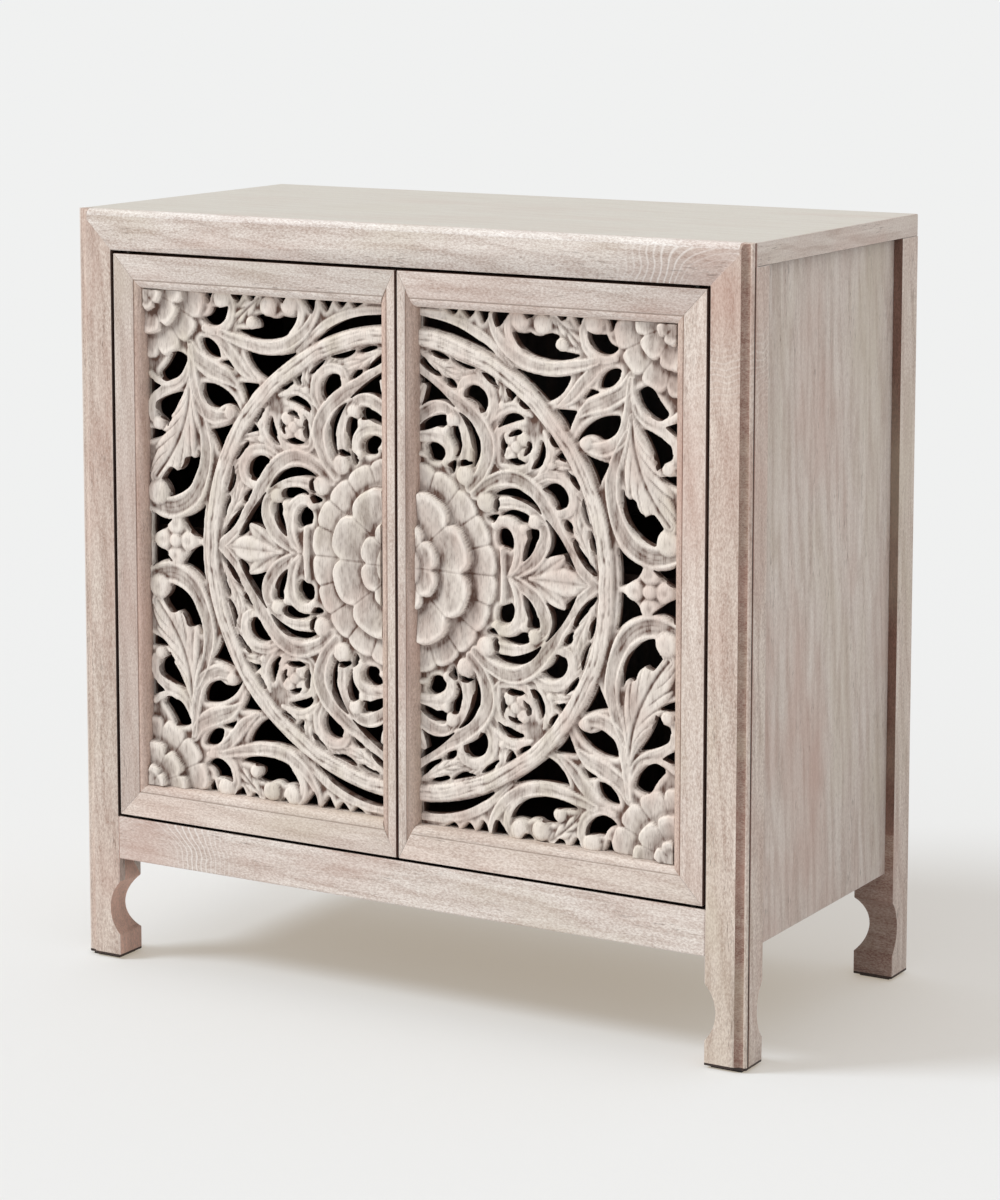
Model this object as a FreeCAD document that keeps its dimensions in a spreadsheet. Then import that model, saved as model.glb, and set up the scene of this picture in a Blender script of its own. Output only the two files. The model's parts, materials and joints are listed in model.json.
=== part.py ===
import FreeCAD, Part
import math
import os
import re
import Sketcher

# Storage cabinet on four legs, with a pair of inset doors that hold pierced, carved panels.
# The frame stands on the floor at z = 0 with its middle at x = y = 0. The doors face -y.

# Driving sizes in millimetres
SIZES = {
    # Whole cabinet
    "overall_width": 900,
    "overall_depth": 440,
    "overall_height": 920,
    # Posts, which are also the legs
    "post_width": 50,
    "post_depth": 44,
    "pad_height": 3,
    "pad_inset": 6,
    "foot_height": 31,
    "foot_cut_height": 66,
    "foot_cut_depth": 14,
    "cove_width": 9.5,
    "cove_depth": 4,
    "cove_radius": 8,
    "cove_land": 2,
    "bead_radius": 3.5,
    "groove_width": 1.6,
    "groove_depth": 1.6,
    # Top board and the frame round the doors
    "top_thickness": 26,
    "face_depth": 14,
    "rail_thickness": 24,
    "top_rail_height": 48,
    "bottom_rail_height": 53,
    "rail_clearance": 127,
    "round_over": 7,
    "tenon_length": 22,
    "tenon_thickness": 10,
    "tenon_shoulder": 8,
    # Side panels
    "side_recess": 11,
    "side_thickness": 18,
    "side_clearance": 131,
    "panel_tongue": 8,
    # Back
    "back_rail_height": 50,
    "back_rail_thickness": 22,
    "back_inset": 6,
    "back_panel_thickness": 8,
    "back_panel_inset": 7,
    # Inside
    "bottom_thickness": 18,
    "cleat_size": 20,
    "shelf_height": 520,
    "shelf_thickness": 18,
    "shelf_gap": 2,
    "stop_length": 640,
    "stop_height": 36,
    "stop_thickness": 18,
    "catch_place": 46,
    "catch_length": 40,
    "catch_height": 12,
    "catch_depth": 14,
    "strike_thickness": 1.5,
    "contact_gap": 0.3,
    # Door frames
    "door_gap": 3.5,
    "door_thickness": 34,
    "hanging_flat": 28,
    "meeting_flat": 10.5,
    "door_rail_flat": 30,
    "moulding_width": 11,
    "quirk_width": 1.5,
    "quirk_depth": 2,
    "moulding_drop": 0.8,
    "moulding_land": 0.5,
    "rebate_width": 8,
    # Carved panels
    "panel_seat": 18,
    "panel_thickness": 8,
    "panel_play": 0.5,
    "relief_play": 0.5,
    "band_rise": 4.5,
    "ring_rise": 6,
    "petal_rise": 4.2,
    "boss_rise": 5,
    # Door pivots
    "pivot_inset": 16,
    "pivot_setback": 10,
    "pivot_radius": 3,
    "pivot_clearance": 0.05,
    "pivot_root": 10,
    "pivot_end_gap": 1,
    "bush_radius": 4.5,
    "bush_length": 8,
    # Length that a cut runs past the faces it opens
    "overrun": 5,
}

# Carving drawn in modules: the panel's reach from the middle of the pair of doors, and half its height
MODULES_ACROSS_SHARE = 3.575
MODULES_UP_SHARE = 3.02
RING_INNER_SHARE = 2.57
RING_OUTER_SHARE = 2.77

# Openings of the medallion between the level axis and the diagonal, in modules from the middle.
# Each is a closed chain of gouge cuts: a corner, a point on the arc, the next corner, and so on.
MEDALLION_SHARES = [
    [(1.22, 0.93), (1.56, 0.995), (1.83, 0.76), (1.53, 0.91)],
    [(1.32, 0.71), (1.49, 0.77), (1.66, 0.73), (1.67, 0.69), (1.65, 0.65), (1.59, 0.645), (1.53, 0.665),
     (1.44, 0.715)],
    [(1.27, 0.51), (1.36, 0.54), (1.43, 0.48), (1.46, 0.39), (1.42, 0.32), (1.34, 0.35), (1.28, 0.37),
     (1.26, 0.44)],
    [(1.62, 0.22), (1.645, 0.35), (1.70, 0.46), (1.685, 0.51), (1.69, 0.55), (1.75, 0.565), (1.81, 0.55),
     (1.79, 0.39)],
    [(1.95, 0.68), (2.10, 0.47), (2.27, 0.17), (2.20, 0.20), (2.15, 0.26), (2.155, 0.30), (2.13, 0.335),
     (2.03, 0.315), (1.94, 0.29), (2.02, 0.46)],
    [(1.85, 1.05), (2.02, 1.10), (2.15, 0.93), (2.12, 0.86), (2.03, 0.83), (1.96, 0.96)],
    [(2.15, 1.27), (2.25, 1.18), (2.31, 1.06), (2.22, 1.15)],
    [(2.36, 0.97), (2.40, 0.82), (2.45, 0.66), (2.365, 0.79)],
    [(2.44, 0.60), (2.49, 0.50), (2.51, 0.36), (2.455, 0.47)],
    [(2.24, 0.49), (2.42, 0.29), (2.53, 0.12), (2.36, 0.26)],
    [(2.12, 0.70), (2.19, 0.66), (2.22, 0.56), (2.15, 0.61)],
    [(2.01, 1.42), (2.045, 1.45), (2.08, 1.48), (2.11, 1.43), (2.14, 1.38), (2.075, 1.40)],
    [(1.94, 1.68), (1.985, 1.605), (2.03, 1.53), (1.955, 1.585)],
    [(1.38, 1.33), (1.50, 1.36), (1.60, 1.33), (1.50, 1.30)],
    [(1.70, 1.27), (1.83, 1.36), (1.82, 1.58), (1.76, 1.40)],
    [(1.13, 0.66), (1.17, 0.635), (1.22, 0.62), (1.25, 0.655), (1.27, 0.69), (1.20, 0.685)],
]

# Openings of one corner outside the ring, drawn the same way
CORNER_SHARES = [
    [(0.20, 2.88), (0.75, 2.80), (1.20, 2.53), (0.75, 2.70), (0.20, 2.795), (0.20, 2.84)],
    [(1.20, 3.06), (1.30, 3.06), (1.40, 3.06), (1.31, 2.93), (1.24, 2.85), (1.205, 2.93)],
    [(1.45, 2.79), (1.57, 2.62), (1.75, 2.54), (2.00, 2.515), (2.28, 2.585), (2.12, 2.60),
     (1.98, 2.63), (1.975, 2.70), (2.03, 2.77), (1.96, 2.79), (1.86, 2.78), (1.76, 2.75),
     (1.66, 2.79), (1.55, 2.77)],
    [(2.42, 2.86), (2.47, 2.71), (2.60, 2.63), (2.70, 2.64), (2.78, 2.70), (2.68, 2.75), (2.64, 2.83),
     (2.53, 2.83)],
    [(2.56, 2.25), (2.62, 2.40), (2.81, 2.45), (2.74, 2.31)],
    [(2.37, 2.12), (2.40, 2.165), (2.43, 2.21), (2.48, 2.20), (2.53, 2.19), (2.45, 2.16)],
    [(1.49, 2.37), (1.83, 2.31), (2.17, 2.34), (2.07, 2.16), (1.90, 2.05), (1.72, 2.20)],
    [(2.01, 1.95), (2.13, 1.955), (2.26, 1.95), (2.20, 1.83), (2.17, 1.75), (2.10, 1.86)],
    [(2.28, 1.62), (2.45, 1.83), (2.80, 1.92), (2.78, 1.77), (2.58, 1.66), (2.45, 1.71)],
    [(2.39, 1.46), (2.53, 1.41), (2.68, 1.38), (2.60, 1.25), (2.55, 1.14), (2.48, 1.31)],
    [(3.03, 2.22), (3.12, 2.27), (3.22, 2.27), (3.29, 2.15), (3.40, 2.02), (3.36, 1.945), (3.27, 1.94),
     (3.12, 2.04)],
    [(3.40, 1.86), (3.51, 1.90), (3.62, 1.94), (3.62, 1.84), (3.62, 1.74), (3.50, 1.79)],
    [(3.10, 1.80), (3.28, 1.75), (3.45, 1.66), (3.47, 1.57), (3.40, 1.48), (3.35, 1.44), (3.30, 1.38),
     (3.23, 1.58)],
    [(3.35, 1.30), (3.48, 1.31), (3.62, 1.30), (3.62, 1.25), (3.62, 1.20), (3.48, 1.23)],
    [(2.86, 1.10), (2.89, 1.03), (2.95, 1.00), (2.99, 1.02), (3.04, 1.00), (3.08, 0.90), (3.16, 0.83),
     (3.21, 0.865), (3.27, 0.87), (3.33, 0.80), (3.38, 0.73), (3.30, 0.65), (3.27, 0.53), (2.97, 0.72)],
    [(2.80, 0.45), (2.92, 0.345), (3.10, 0.27), (3.00, 0.13), (2.84, 0.05), (2.83, 0.25)],
    [(3.26, 0.25), (3.40, 0.24), (3.54, 0.33), (3.55, 0.20), (3.54, 0.06), (3.39, 0.14)],
]

# Scalloped layers of the middle rosette and of the corner rosettes: radius to the notches and to the
# petal tips in modules, and the number of petals in the whole round
ROSETTE_SHARES = [(1.21, 1.26, 21), (0.83, 0.97, 9), (0.45, 0.55, 8)]
CORNER_ROSETTE_SHARES = [(0.75, 0.83, 14), (0.46, 0.53, 9), (0.22, 0.27, 8)]
FLOWER_BOSS_SHARES = [(1.50, 1.50, 0.10), (1.50, -1.50, 0.10), (3.21, 0, 0.11)]

# Raised bands of the medallion, from the ball by the rosette to the cusp at the ring
BAND_SHARES = [
    [(0.98, 0.93), (1.32, 1.17), (1.75, 1.09), (1.93, 0.93), (2.06, 0.70), (2.26, 0.37), (2.56, 0.00),
     (2.48, 0.00), (2.40, 0.00), (2.14, 0.27), (1.95, 0.58), (1.82, 0.80), (1.62, 0.98), (1.35, 1.02)],
]

# A cut shorter than this share of a module is made with straight strokes, and a longer one is an arc.
# A cut that bows by less than the second share of its chord is straight.
SHORT_CUT_SHARE = 0.8
STRAIGHT_SHARE = 0.002

# Directions
ACROSS = FreeCAD.Vector(1, 0, 0)
BACKWARD = FreeCAD.Vector(0, 1, 0)
UP = FreeCAD.Vector(0, 0, 1)

doc = FreeCAD.newDocument("storage_cabinet")
sheet = doc.addObject("Spreadsheet::Sheet", "sheet")
for row, (word, number) in enumerate(SIZES.items(), 1):
    sheet.set(f"A{row}", word)
    sheet.set(f"B{row}", str(number))
    sheet.setAlias(f"B{row}", word)
doc.recompute()

pieces = []

# Places worked out from the sizes, as formulas
OUTER = "(overall_width / 2)"
INNER = f"({OUTER} - post_width)"
FRONT = "(-overall_depth / 2)"
BACK = "(overall_depth / 2)"
FRONT_POST_BACK = f"({FRONT} + post_depth)"
BACK_POST_FRONT = f"({BACK} - post_depth)"
UNDER_TOP = "(overall_height - top_thickness)"
OPENING_TOP = "(overall_height - top_rail_height)"
OPENING_BOTTOM = "(rail_clearance + bottom_rail_height)"
RAIL_BACK = f"({FRONT} + rail_thickness)"
SIDE_OUTER = f"({OUTER} - side_recess)"
SIDE_INNER = f"({SIDE_OUTER} - side_thickness)"
BACK_RAIL_BACK = f"({BACK} - back_inset)"
BACK_RAIL_FRONT = f"({BACK_RAIL_BACK} - back_rail_thickness)"
BACK_PANEL_BACK = f"({BACK_RAIL_BACK} - back_panel_inset)"
BACK_PANEL_FRONT = f"({BACK_PANEL_BACK} - back_panel_thickness)"
FLOOR_UNDER = f"({OPENING_BOTTOM} - bottom_thickness)"
DOOR_NEAR = "(door_gap / 2)"
DOOR_FAR = f"({INNER} - door_gap)"
DOOR_LOW = f"({OPENING_BOTTOM} + door_gap)"
DOOR_HIGH = f"({OPENING_TOP} - door_gap)"
DOOR_BACK = f"({FRONT} + door_thickness)"
STOP_FRONT = f"({DOOR_BACK} + strike_thickness + contact_gap)"
STOP_UNDER = f"({UNDER_TOP} - stop_height)"
HANGING = "(hanging_flat + moulding_width)"
MEETING = "(meeting_flat + moulding_width)"
DOOR_RAIL = "(door_rail_flat + moulding_width)"
SIGHT_NEAR = f"({DOOR_NEAR} + {MEETING})"
SIGHT_FAR = f"({DOOR_FAR} - {HANGING})"
SIGHT_LOW = f"({DOOR_LOW} + {DOOR_RAIL})"
SIGHT_HIGH = f"({DOOR_HIGH} - {DOOR_RAIL})"
PIVOT_ACROSS = f"({DOOR_FAR} - pivot_inset)"
PIVOT_DEEP = f"({FRONT} + pivot_setback)"
BUSH_BORE = "(pivot_radius + pivot_clearance)"

SIDES = (("left", -1), ("right", 1))

# Distance within which two points count as one
SAME_PLACE = 1e-6


def bound(formula):
    """A formula whose size names follow the driving sizes."""
    return re.sub(r"[a-z_]+", lambda word: f"sheet.{word[0]}" if word[0] in SIZES else word[0], formula)


def size(formula):
    """The number that a formula gives now."""
    return float(sheet.evalExpression(bound(formula)))


def bind(item, setting, formula):
    item.setExpression(setting, bound(formula))


def mirrored(sign, near, far):
    """The span from near to far on the side of the middle that sign says, lowest end first."""
    return (near, far) if sign > 0 else (f"(-{far})", f"(-{near})")


def on_side(sign, place):
    return place if sign > 0 else f"(-{place})"


def keep(piece):
    """Count a finished piece as a sub-part under its own label."""
    pieces.append(piece)
    return piece


def box(name, x, y, z):
    """A square-edged board between the ends of three spans."""
    made = doc.addObject("Part::Box", name)
    for side, axis, (start, end) in zip(("Length", "Width", "Height"), "xyz", (x, y, z)):
        bind(made, side, f"({end}) - ({start})")
        bind(made, f"Placement.Base.{axis}", start)
    return made


def rod(name, radius, length, foot, toward):
    """A round bar from its foot along a direction."""
    made = doc.addObject("Part::Cylinder", name)
    made.Placement = FreeCAD.Placement(FreeCAD.Vector(), FreeCAD.Rotation(UP, toward))
    bind(made, "Radius", radius)
    bind(made, "Height", length)
    for axis, place in zip("xyz", foot):
        bind(made, f"Placement.Base.{axis}", place)
    return made


def cut(name, base, tools):
    """The base less all the tools."""
    made = doc.addObject("Part::Cut", name)
    made.Base = base
    made.Tool = tools[0]
    if len(tools) > 1:
        made.Tool = doc.addObject("Part::MultiFuse", f"{name}_cuts")
        made.Tool.Shapes = tools
    return made


def joined(name, solids):
    made = doc.addObject("Part::MultiFuse", name)
    made.Shapes = solids
    return made


def group(name, solids):
    """Separate solids that share one node."""
    made = doc.addObject("Part::Compound", name)
    made.Links = solids
    return keep(made)


def outline(body, role, name, points):
    """A closed outline of straight sides, with each corner tied to the driving sizes."""
    sketch = body.newObject("Sketcher::SketchObject", name)
    plane = next(item for item in body.Origin.OriginFeatures if item.Role == role)
    sketch.AttachmentSupport = [(plane, "")]
    sketch.MapMode = "FlatFace"
    corners = [FreeCAD.Vector(size(first), size(second), 0) for first, second in points]
    for index, corner in enumerate(corners):
        sketch.addGeometry(Part.LineSegment(corner, corners[(index + 1) % len(corners)]))
    for index, point in enumerate(points):
        sketch.addConstraint(Sketcher.Constraint("Coincident", (index - 1) % len(points), 2, index, 1))
        for kind, formula in zip(("DistanceX", "DistanceY"), point):
            number = sketch.addConstraint(Sketcher.Constraint(kind, -1, 1, index, 1, size(formula)))
            bind(sketch, f"Constraints[{number}]", formula)
    return sketch


# Top board, which lies behind the front frame and over the posts
top_board = keep(box("top_board", (f"(-{OUTER})", OUTER), (f"({FRONT} + face_depth)", BACK),
                     (UNDER_TOP, "overall_height")))

# Strip that rounds the front edge of the top
arris_square = box("arris_square", (f"(-{OUTER} - overrun)", f"({OUTER} + overrun)"),
                   (f"({FRONT} - overrun)", f"({FRONT} + round_over)"),
                   ("(overall_height - round_over)", "(overall_height + overrun)"))
arris_round = rod("arris_round", "round_over", f"2 * ({OUTER} + overrun)",
                  (f"(-{OUTER} - overrun)", f"({FRONT} + round_over)", "(overall_height - round_over)"),
                  ACROSS)
arris = cut("arris", arris_square, [arris_round])

# Front top rail with mitred ends that stop at the corner mouldings
MITRE_END = f"({OUTER} - bead_radius - cove_width - cove_land)"
MITRE_TOP = f"({OPENING_TOP} + {MITRE_END} - {INNER})"
top_rail_body = doc.addObject("PartDesign::Body", "front_top_rail_blank")
top_rail_sketch = outline(top_rail_body, "XZ_Plane", "front_top_rail_face", [
    (f"-{INNER}", OPENING_TOP), (INNER, OPENING_TOP), (MITRE_END, MITRE_TOP), (MITRE_END, "overall_height"),
    (f"-{MITRE_END}", "overall_height"), (f"-{MITRE_END}", MITRE_TOP)])
top_rail_pad = top_rail_body.newObject("PartDesign::Pad", "front_top_rail_pad")
top_rail_pad.Profile = top_rail_sketch
bind(top_rail_pad, "Length", "rail_thickness")
bind(top_rail_body, "Placement.Base.y", RAIL_BACK)


def tenoned_rail(name, y, z):
    """A rail between the posts with a tenon at each end."""
    middle = f"(({y[0]} + {y[1]}) / 2)"
    tongue = box(f"{name}_tenons", (f"(-{INNER} - tenon_length)", f"({INNER} + tenon_length)"),
                 (f"({middle} - tenon_thickness / 2)", f"({middle} + tenon_thickness / 2)"),
                 (f"({z[0]} + tenon_shoulder)", f"({z[1]} - tenon_shoulder)"))
    bar = box(f"{name}_bar", (f"(-{INNER})", INNER), y, z)
    return joined(f"{name}_blank", [bar, tongue])


front_bottom_rail_blank = tenoned_rail("front_bottom_rail", (FRONT, RAIL_BACK),
                                       ("rail_clearance", OPENING_BOTTOM))
back_bottom_rail_blank = tenoned_rail("back_bottom_rail", (BACK_RAIL_FRONT, BACK_RAIL_BACK),
                                      ("rail_clearance", OPENING_BOTTOM))
back_top_rail_blank = tenoned_rail("back_top_rail", (BACK_RAIL_FRONT, BACK_RAIL_BACK),
                                   (f"({UNDER_TOP} - back_rail_height)", UNDER_TOP))

# Back panel in grooves of the back posts and rails
back_panel = keep(box("back_panel", (f"(-{INNER} - panel_tongue)", f"({INNER} + panel_tongue)"),
                      (BACK_PANEL_FRONT, BACK_PANEL_BACK),
                      (f"({OPENING_BOTTOM} - panel_tongue)",
                       f"({UNDER_TOP} - back_rail_height + panel_tongue)")))
keep(cut("back_bottom_rail", back_bottom_rail_blank, [back_panel]))
keep(cut("back_top_rail", back_top_rail_blank, [back_panel]))

# Pivot pins of the doors, rooted in the front rails; the lower ones have a collar that carries the door
pivot_pins = []
for side, sign in SIDES:
    place = (on_side(sign, PIVOT_ACROSS), PIVOT_DEEP)
    reach = "(pivot_root + door_gap + bush_length - pivot_end_gap)"
    upper = rod(f"{side}_upper_pin", "pivot_radius", reach,
                (*place, f"({DOOR_HIGH} - bush_length + pivot_end_gap)"), UP)
    shank = rod(f"{side}_lower_shank", "pivot_radius", reach,
                (*place, f"({OPENING_BOTTOM} - pivot_root)"), UP)
    collar = rod(f"{side}_lower_collar", "bush_radius", "door_gap - contact_gap",
                 (*place, OPENING_BOTTOM), UP)
    lower = joined(f"{side}_lower_pin", [shank, collar])
    pivot_pins += [upper, lower]
group("pivot_pins", pivot_pins)

keep(cut("front_top_rail", top_rail_body, [top_board, arris, pivot_pins[0], pivot_pins[2]]))
keep(cut("front_bottom_rail", front_bottom_rail_blank, [pivot_pins[1], pivot_pins[3]]))

# Side panels in grooves of the posts, and the posts with their feet cut away on both inner faces
FOOT_CUT_RADIUS = "((foot_cut_height ^ 2 / 4 + foot_cut_depth ^ 2) / (2 * foot_cut_depth))"
FOOT_CUT_OUT = f"({FOOT_CUT_RADIUS} - foot_cut_depth)"
FOOT_CUT_MIDDLE = "(foot_height + foot_cut_height / 2)"

# The front corners have a shallow cove, from the front face to a bead on the corner. Its middle is as far
# from the chord between them as the radius asks.
COVE_CHORD = "(sqrt(cove_width ^ 2 + cove_depth ^ 2))"
COVE_STANDOFF = f"(sqrt(cove_radius ^ 2 - {COVE_CHORD} ^ 2 / 4) / {COVE_CHORD})"
COVE_ACROSS = f"({OUTER} - bead_radius - cove_width / 2 + cove_depth * {COVE_STANDOFF})"
COVE_DEEP = f"({FRONT} + cove_depth / 2 - cove_width * {COVE_STANDOFF})"

post_blanks = []
foot_pads = []
for side, sign in SIDES:
    panel = keep(box(f"{side}_side_panel", mirrored(sign, SIDE_INNER, SIDE_OUTER),
                     (f"({FRONT_POST_BACK} - panel_tongue)", f"({BACK_POST_FRONT} + panel_tongue)"),
                     ("side_clearance", UNDER_TOP)))
    width = mirrored(sign, INNER, OUTER)
    for end, depth, inner_face, inward in (("front", (FRONT, FRONT_POST_BACK), FRONT_POST_BACK, 1),
                                           ("back", (BACK_POST_FRONT, BACK), BACK_POST_FRONT, -1)):
        name = f"{end}_{side}_post"
        square = box(f"{name}_blank", width, depth, ("pad_height", "overall_height"))
        post_blanks.append(square)
        inner_cut = rod(f"{name}_inner_cut", FOOT_CUT_RADIUS, "overall_depth",
                        (on_side(sign, f"({INNER} - {FOOT_CUT_OUT})"), FRONT, FOOT_CUT_MIDDLE), BACKWARD)
        deep = f"({inner_face} + {FOOT_CUT_OUT})" if inward > 0 else f"({inner_face} - {FOOT_CUT_OUT})"
        deep_cut = rod(f"{name}_deep_cut", FOOT_CUT_RADIUS, "overall_width",
                       (f"(-{OUTER})", deep, FOOT_CUT_MIDDLE), ACROSS)
        tools = [inner_cut, deep_cut, panel, top_board]
        if end == "front":
            cove = rod(f"{name}_cove", "cove_radius", "overall_height + 2 * overrun",
                       (on_side(sign, COVE_ACROSS), COVE_DEEP, "(-overrun)"), UP)
            bead_back = f"({FRONT} + cove_depth + bead_radius)"
            bead_edge = f"({OUTER} - bead_radius)"
            bead_square = box(f"{name}_bead_square", mirrored(sign, bead_edge, f"({OUTER} + overrun)"),
                              (f"({FRONT} - overrun)", bead_back),
                              ("(-overrun)", "(overall_height + overrun)"))
            bead_round = rod(f"{name}_bead_round", "bead_radius", "overall_height + 2 * overrun",
                             (on_side(sign, bead_edge), bead_back, "(-overrun)"), UP)
            bead = cut(f"{name}_bead", bead_square, [bead_round])
            groove = box(f"{name}_groove",
                         mirrored(sign, f"({OUTER} - groove_depth)", f"({OUTER} + overrun)"),
                         (bead_back, f"({bead_back} + groove_width)"), ("(-overrun)", UNDER_TOP))
            tools += [cove, bead, groove, arris, top_rail_body, front_bottom_rail_blank]
        else:
            tools += [back_panel, back_bottom_rail_blank, back_top_rail_blank]
        keep(cut(name, square, tools))
        foot_pads.append(box(f"{name}_pad", (f"({width[0]} + pad_inset)", f"({width[1]} - pad_inset)"),
                             (f"({depth[0]} + pad_inset)", f"({depth[1]} - pad_inset)"),
                             ("0", "pad_height")))
group("foot_pads", foot_pads)

# Bottom board, notched round the posts, and the shelf, each on a pair of cleats
bottom_sheet = box("bottom_sheet", (f"(-{SIDE_INNER})", SIDE_INNER), (RAIL_BACK, BACK_RAIL_FRONT),
                   (FLOOR_UNDER, OPENING_BOTTOM))
keep(cut("bottom_board", bottom_sheet, post_blanks))
keep(box("shelf", (f"(-{SIDE_INNER} + shelf_gap)", f"({SIDE_INNER} - shelf_gap)"),
         (f"({FRONT_POST_BACK} + shelf_gap)", f"({BACK_POST_FRONT} - shelf_gap)"),
         ("shelf_height", "(shelf_height + shelf_thickness)")))
for level, under in (("bottom", FLOOR_UNDER), ("shelf", "shelf_height")):
    for side, sign in SIDES:
        keep(box(f"{side}_{level}_cleat", mirrored(sign, f"({SIDE_INNER} - cleat_size)", SIDE_INNER),
                 (FRONT_POST_BACK, BACK_POST_FRONT), (f"({under} - cleat_size)", under)))

# Door stop and the magnetic catches under it
keep(box("door_stop", ("(-stop_length / 2)", "(stop_length / 2)"),
         (STOP_FRONT, f"({STOP_FRONT} + stop_thickness)"), (STOP_UNDER, UNDER_TOP)))
CATCH_SPAN = ("(catch_place - catch_length / 2)", "(catch_place + catch_length / 2)")
CATCH_LIFT = (f"({STOP_UNDER} - catch_height)", STOP_UNDER)
group("magnetic_catches", [
    box(f"{side}_catch", mirrored(sign, *CATCH_SPAN), (STOP_FRONT, f"({STOP_FRONT} + catch_depth)"),
        CATCH_LIFT)
    for side, sign in SIDES])


def frame_member(name, edge, flat, length, neighbours, corner):
    """One moulded side of a door frame, mitred to its neighbours at both ends.

    It is drawn along x, with y from its outer edge to the panel and z from the front to the back.
    """
    along, inward = {"left": (UP, ACROSS), "right": (-UP, -ACROSS),
                     "top": (ACROSS, -UP), "bottom": (-ACROSS, UP)}[edge]
    width = f"({flat} + moulding_width)"
    quirk_end = f"({flat} + quirk_width)"
    body = doc.addObject("PartDesign::Body", name)
    section = outline(body, "YZ_Plane", f"{name}_section", [
        ("0", "0"), (flat, "0"), (flat, "quirk_depth"), (quirk_end, "quirk_depth"),
        (quirk_end, "moulding_drop"), (width, "moulding_drop"), (width, "panel_seat"),
        (f"{width} - rebate_width", "panel_seat"), (f"{width} - rebate_width", "door_thickness"),
        ("0", "door_thickness")])
    bar = body.newObject("PartDesign::Pad", f"{name}_bar")
    bar.Profile = section
    bind(bar, "Length", length)
    doc.recompute()
    nose = FreeCAD.Vector(size(length) / 2, size(width), size("moulding_drop"))
    edges = [f"Edge{number}" for number, line in enumerate(bar.Shape.Edges, 1)
             if line.BoundBox.Center.isEqual(nose, SAME_PLACE)]
    ovolo = body.newObject("PartDesign::Fillet", f"{name}_ovolo")
    ovolo.Base = (bar, edges)
    bind(ovolo, "Radius", "moulding_width - quirk_width - moulding_land")
    doc.recompute()
    first, last = neighbours
    for end, points in (
            ("start", [("0", "0"), (first, width), ("-overrun", width), ("-overrun", "0")]),
            ("end", [(length, "0"), (f"{length} - {last}", width), (f"{length} + overrun", width),
                     (f"{length} + overrun", "0")])):
        mitre = body.newObject("PartDesign::Pocket", f"{name}_{end}_mitre")
        mitre.Profile = outline(body, "XY_Plane", f"{name}_{end}_line", points)
        mitre.Reversed = True
        bind(mitre, "Length", "door_thickness")
        doc.recompute()
    body.Placement = FreeCAD.Placement(FreeCAD.Vector(), FreeCAD.Rotation(along, inward, BACKWARD, "XYZ"))
    for axis, place in zip("xyz", corner):
        bind(body, f"Placement.Base.{axis}", place)
    return body


def gouged(chain, spot):
    """The face inside a closed chain of cuts drawn in modules."""
    edges = []
    for index in range(0, len(chain), 2):
        cut_shares = [chain[index], chain[index + 1], chain[(index + 2) % len(chain)]]
        start, through, end = [spot(*share) for share in cut_shares]
        chord = (end - start).Length
        if (through - start).cross(end - start).Length < STRAIGHT_SHARE * chord ** 2:
            edges.append(Part.LineSegment(start, end).toShape())
        elif math.dist(cut_shares[0], cut_shares[2]) < SHORT_CUT_SHARE:
            edges.append(Part.LineSegment(start, through).toShape())
            edges.append(Part.LineSegment(through, end).toShape())
        else:
            edges.append(Part.Arc(start, through, end).toShape())
    return Part.Face(Part.Wire(edges))


def scalloped(middle, layer, spot):
    """A round of petals about a middle: notches on one radius and tips on another."""
    notch, tip, petals = layer
    chain = []
    for index in range(2 * petals):
        radius = tip if index % 2 else notch
        turn = index * math.pi / petals
        chain.append((middle[0] + radius * math.cos(turn), middle[1] + radius * math.sin(turn)))
    return gouged(chain, spot)


def disc(middle, radius, spot):
    """A round drawn in modules, as four arcs."""
    return scalloped(middle, (radius, radius, 4), spot)


def mirrored_chains(wedges, quarters):
    """All the chains of a door: wedges turned over the diagonal too, then everything turned over level."""
    chains = wedges + [[(up, across) for across, up in chain] for chain in wedges] + quarters
    return chains + [[(across, -up) for across, up in chain] for chain in chains]


def flat_rectangle(across, up, deep):
    """A face in the plane of the panel between two spans."""
    corners = [FreeCAD.Vector(x, deep, z) for x, z in
               ((across[0], up[0]), (across[1], up[0]), (across[1], up[1]), (across[0], up[1]))]
    return Part.Face(Part.makePolygon([*corners, corners[0]]))


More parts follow.
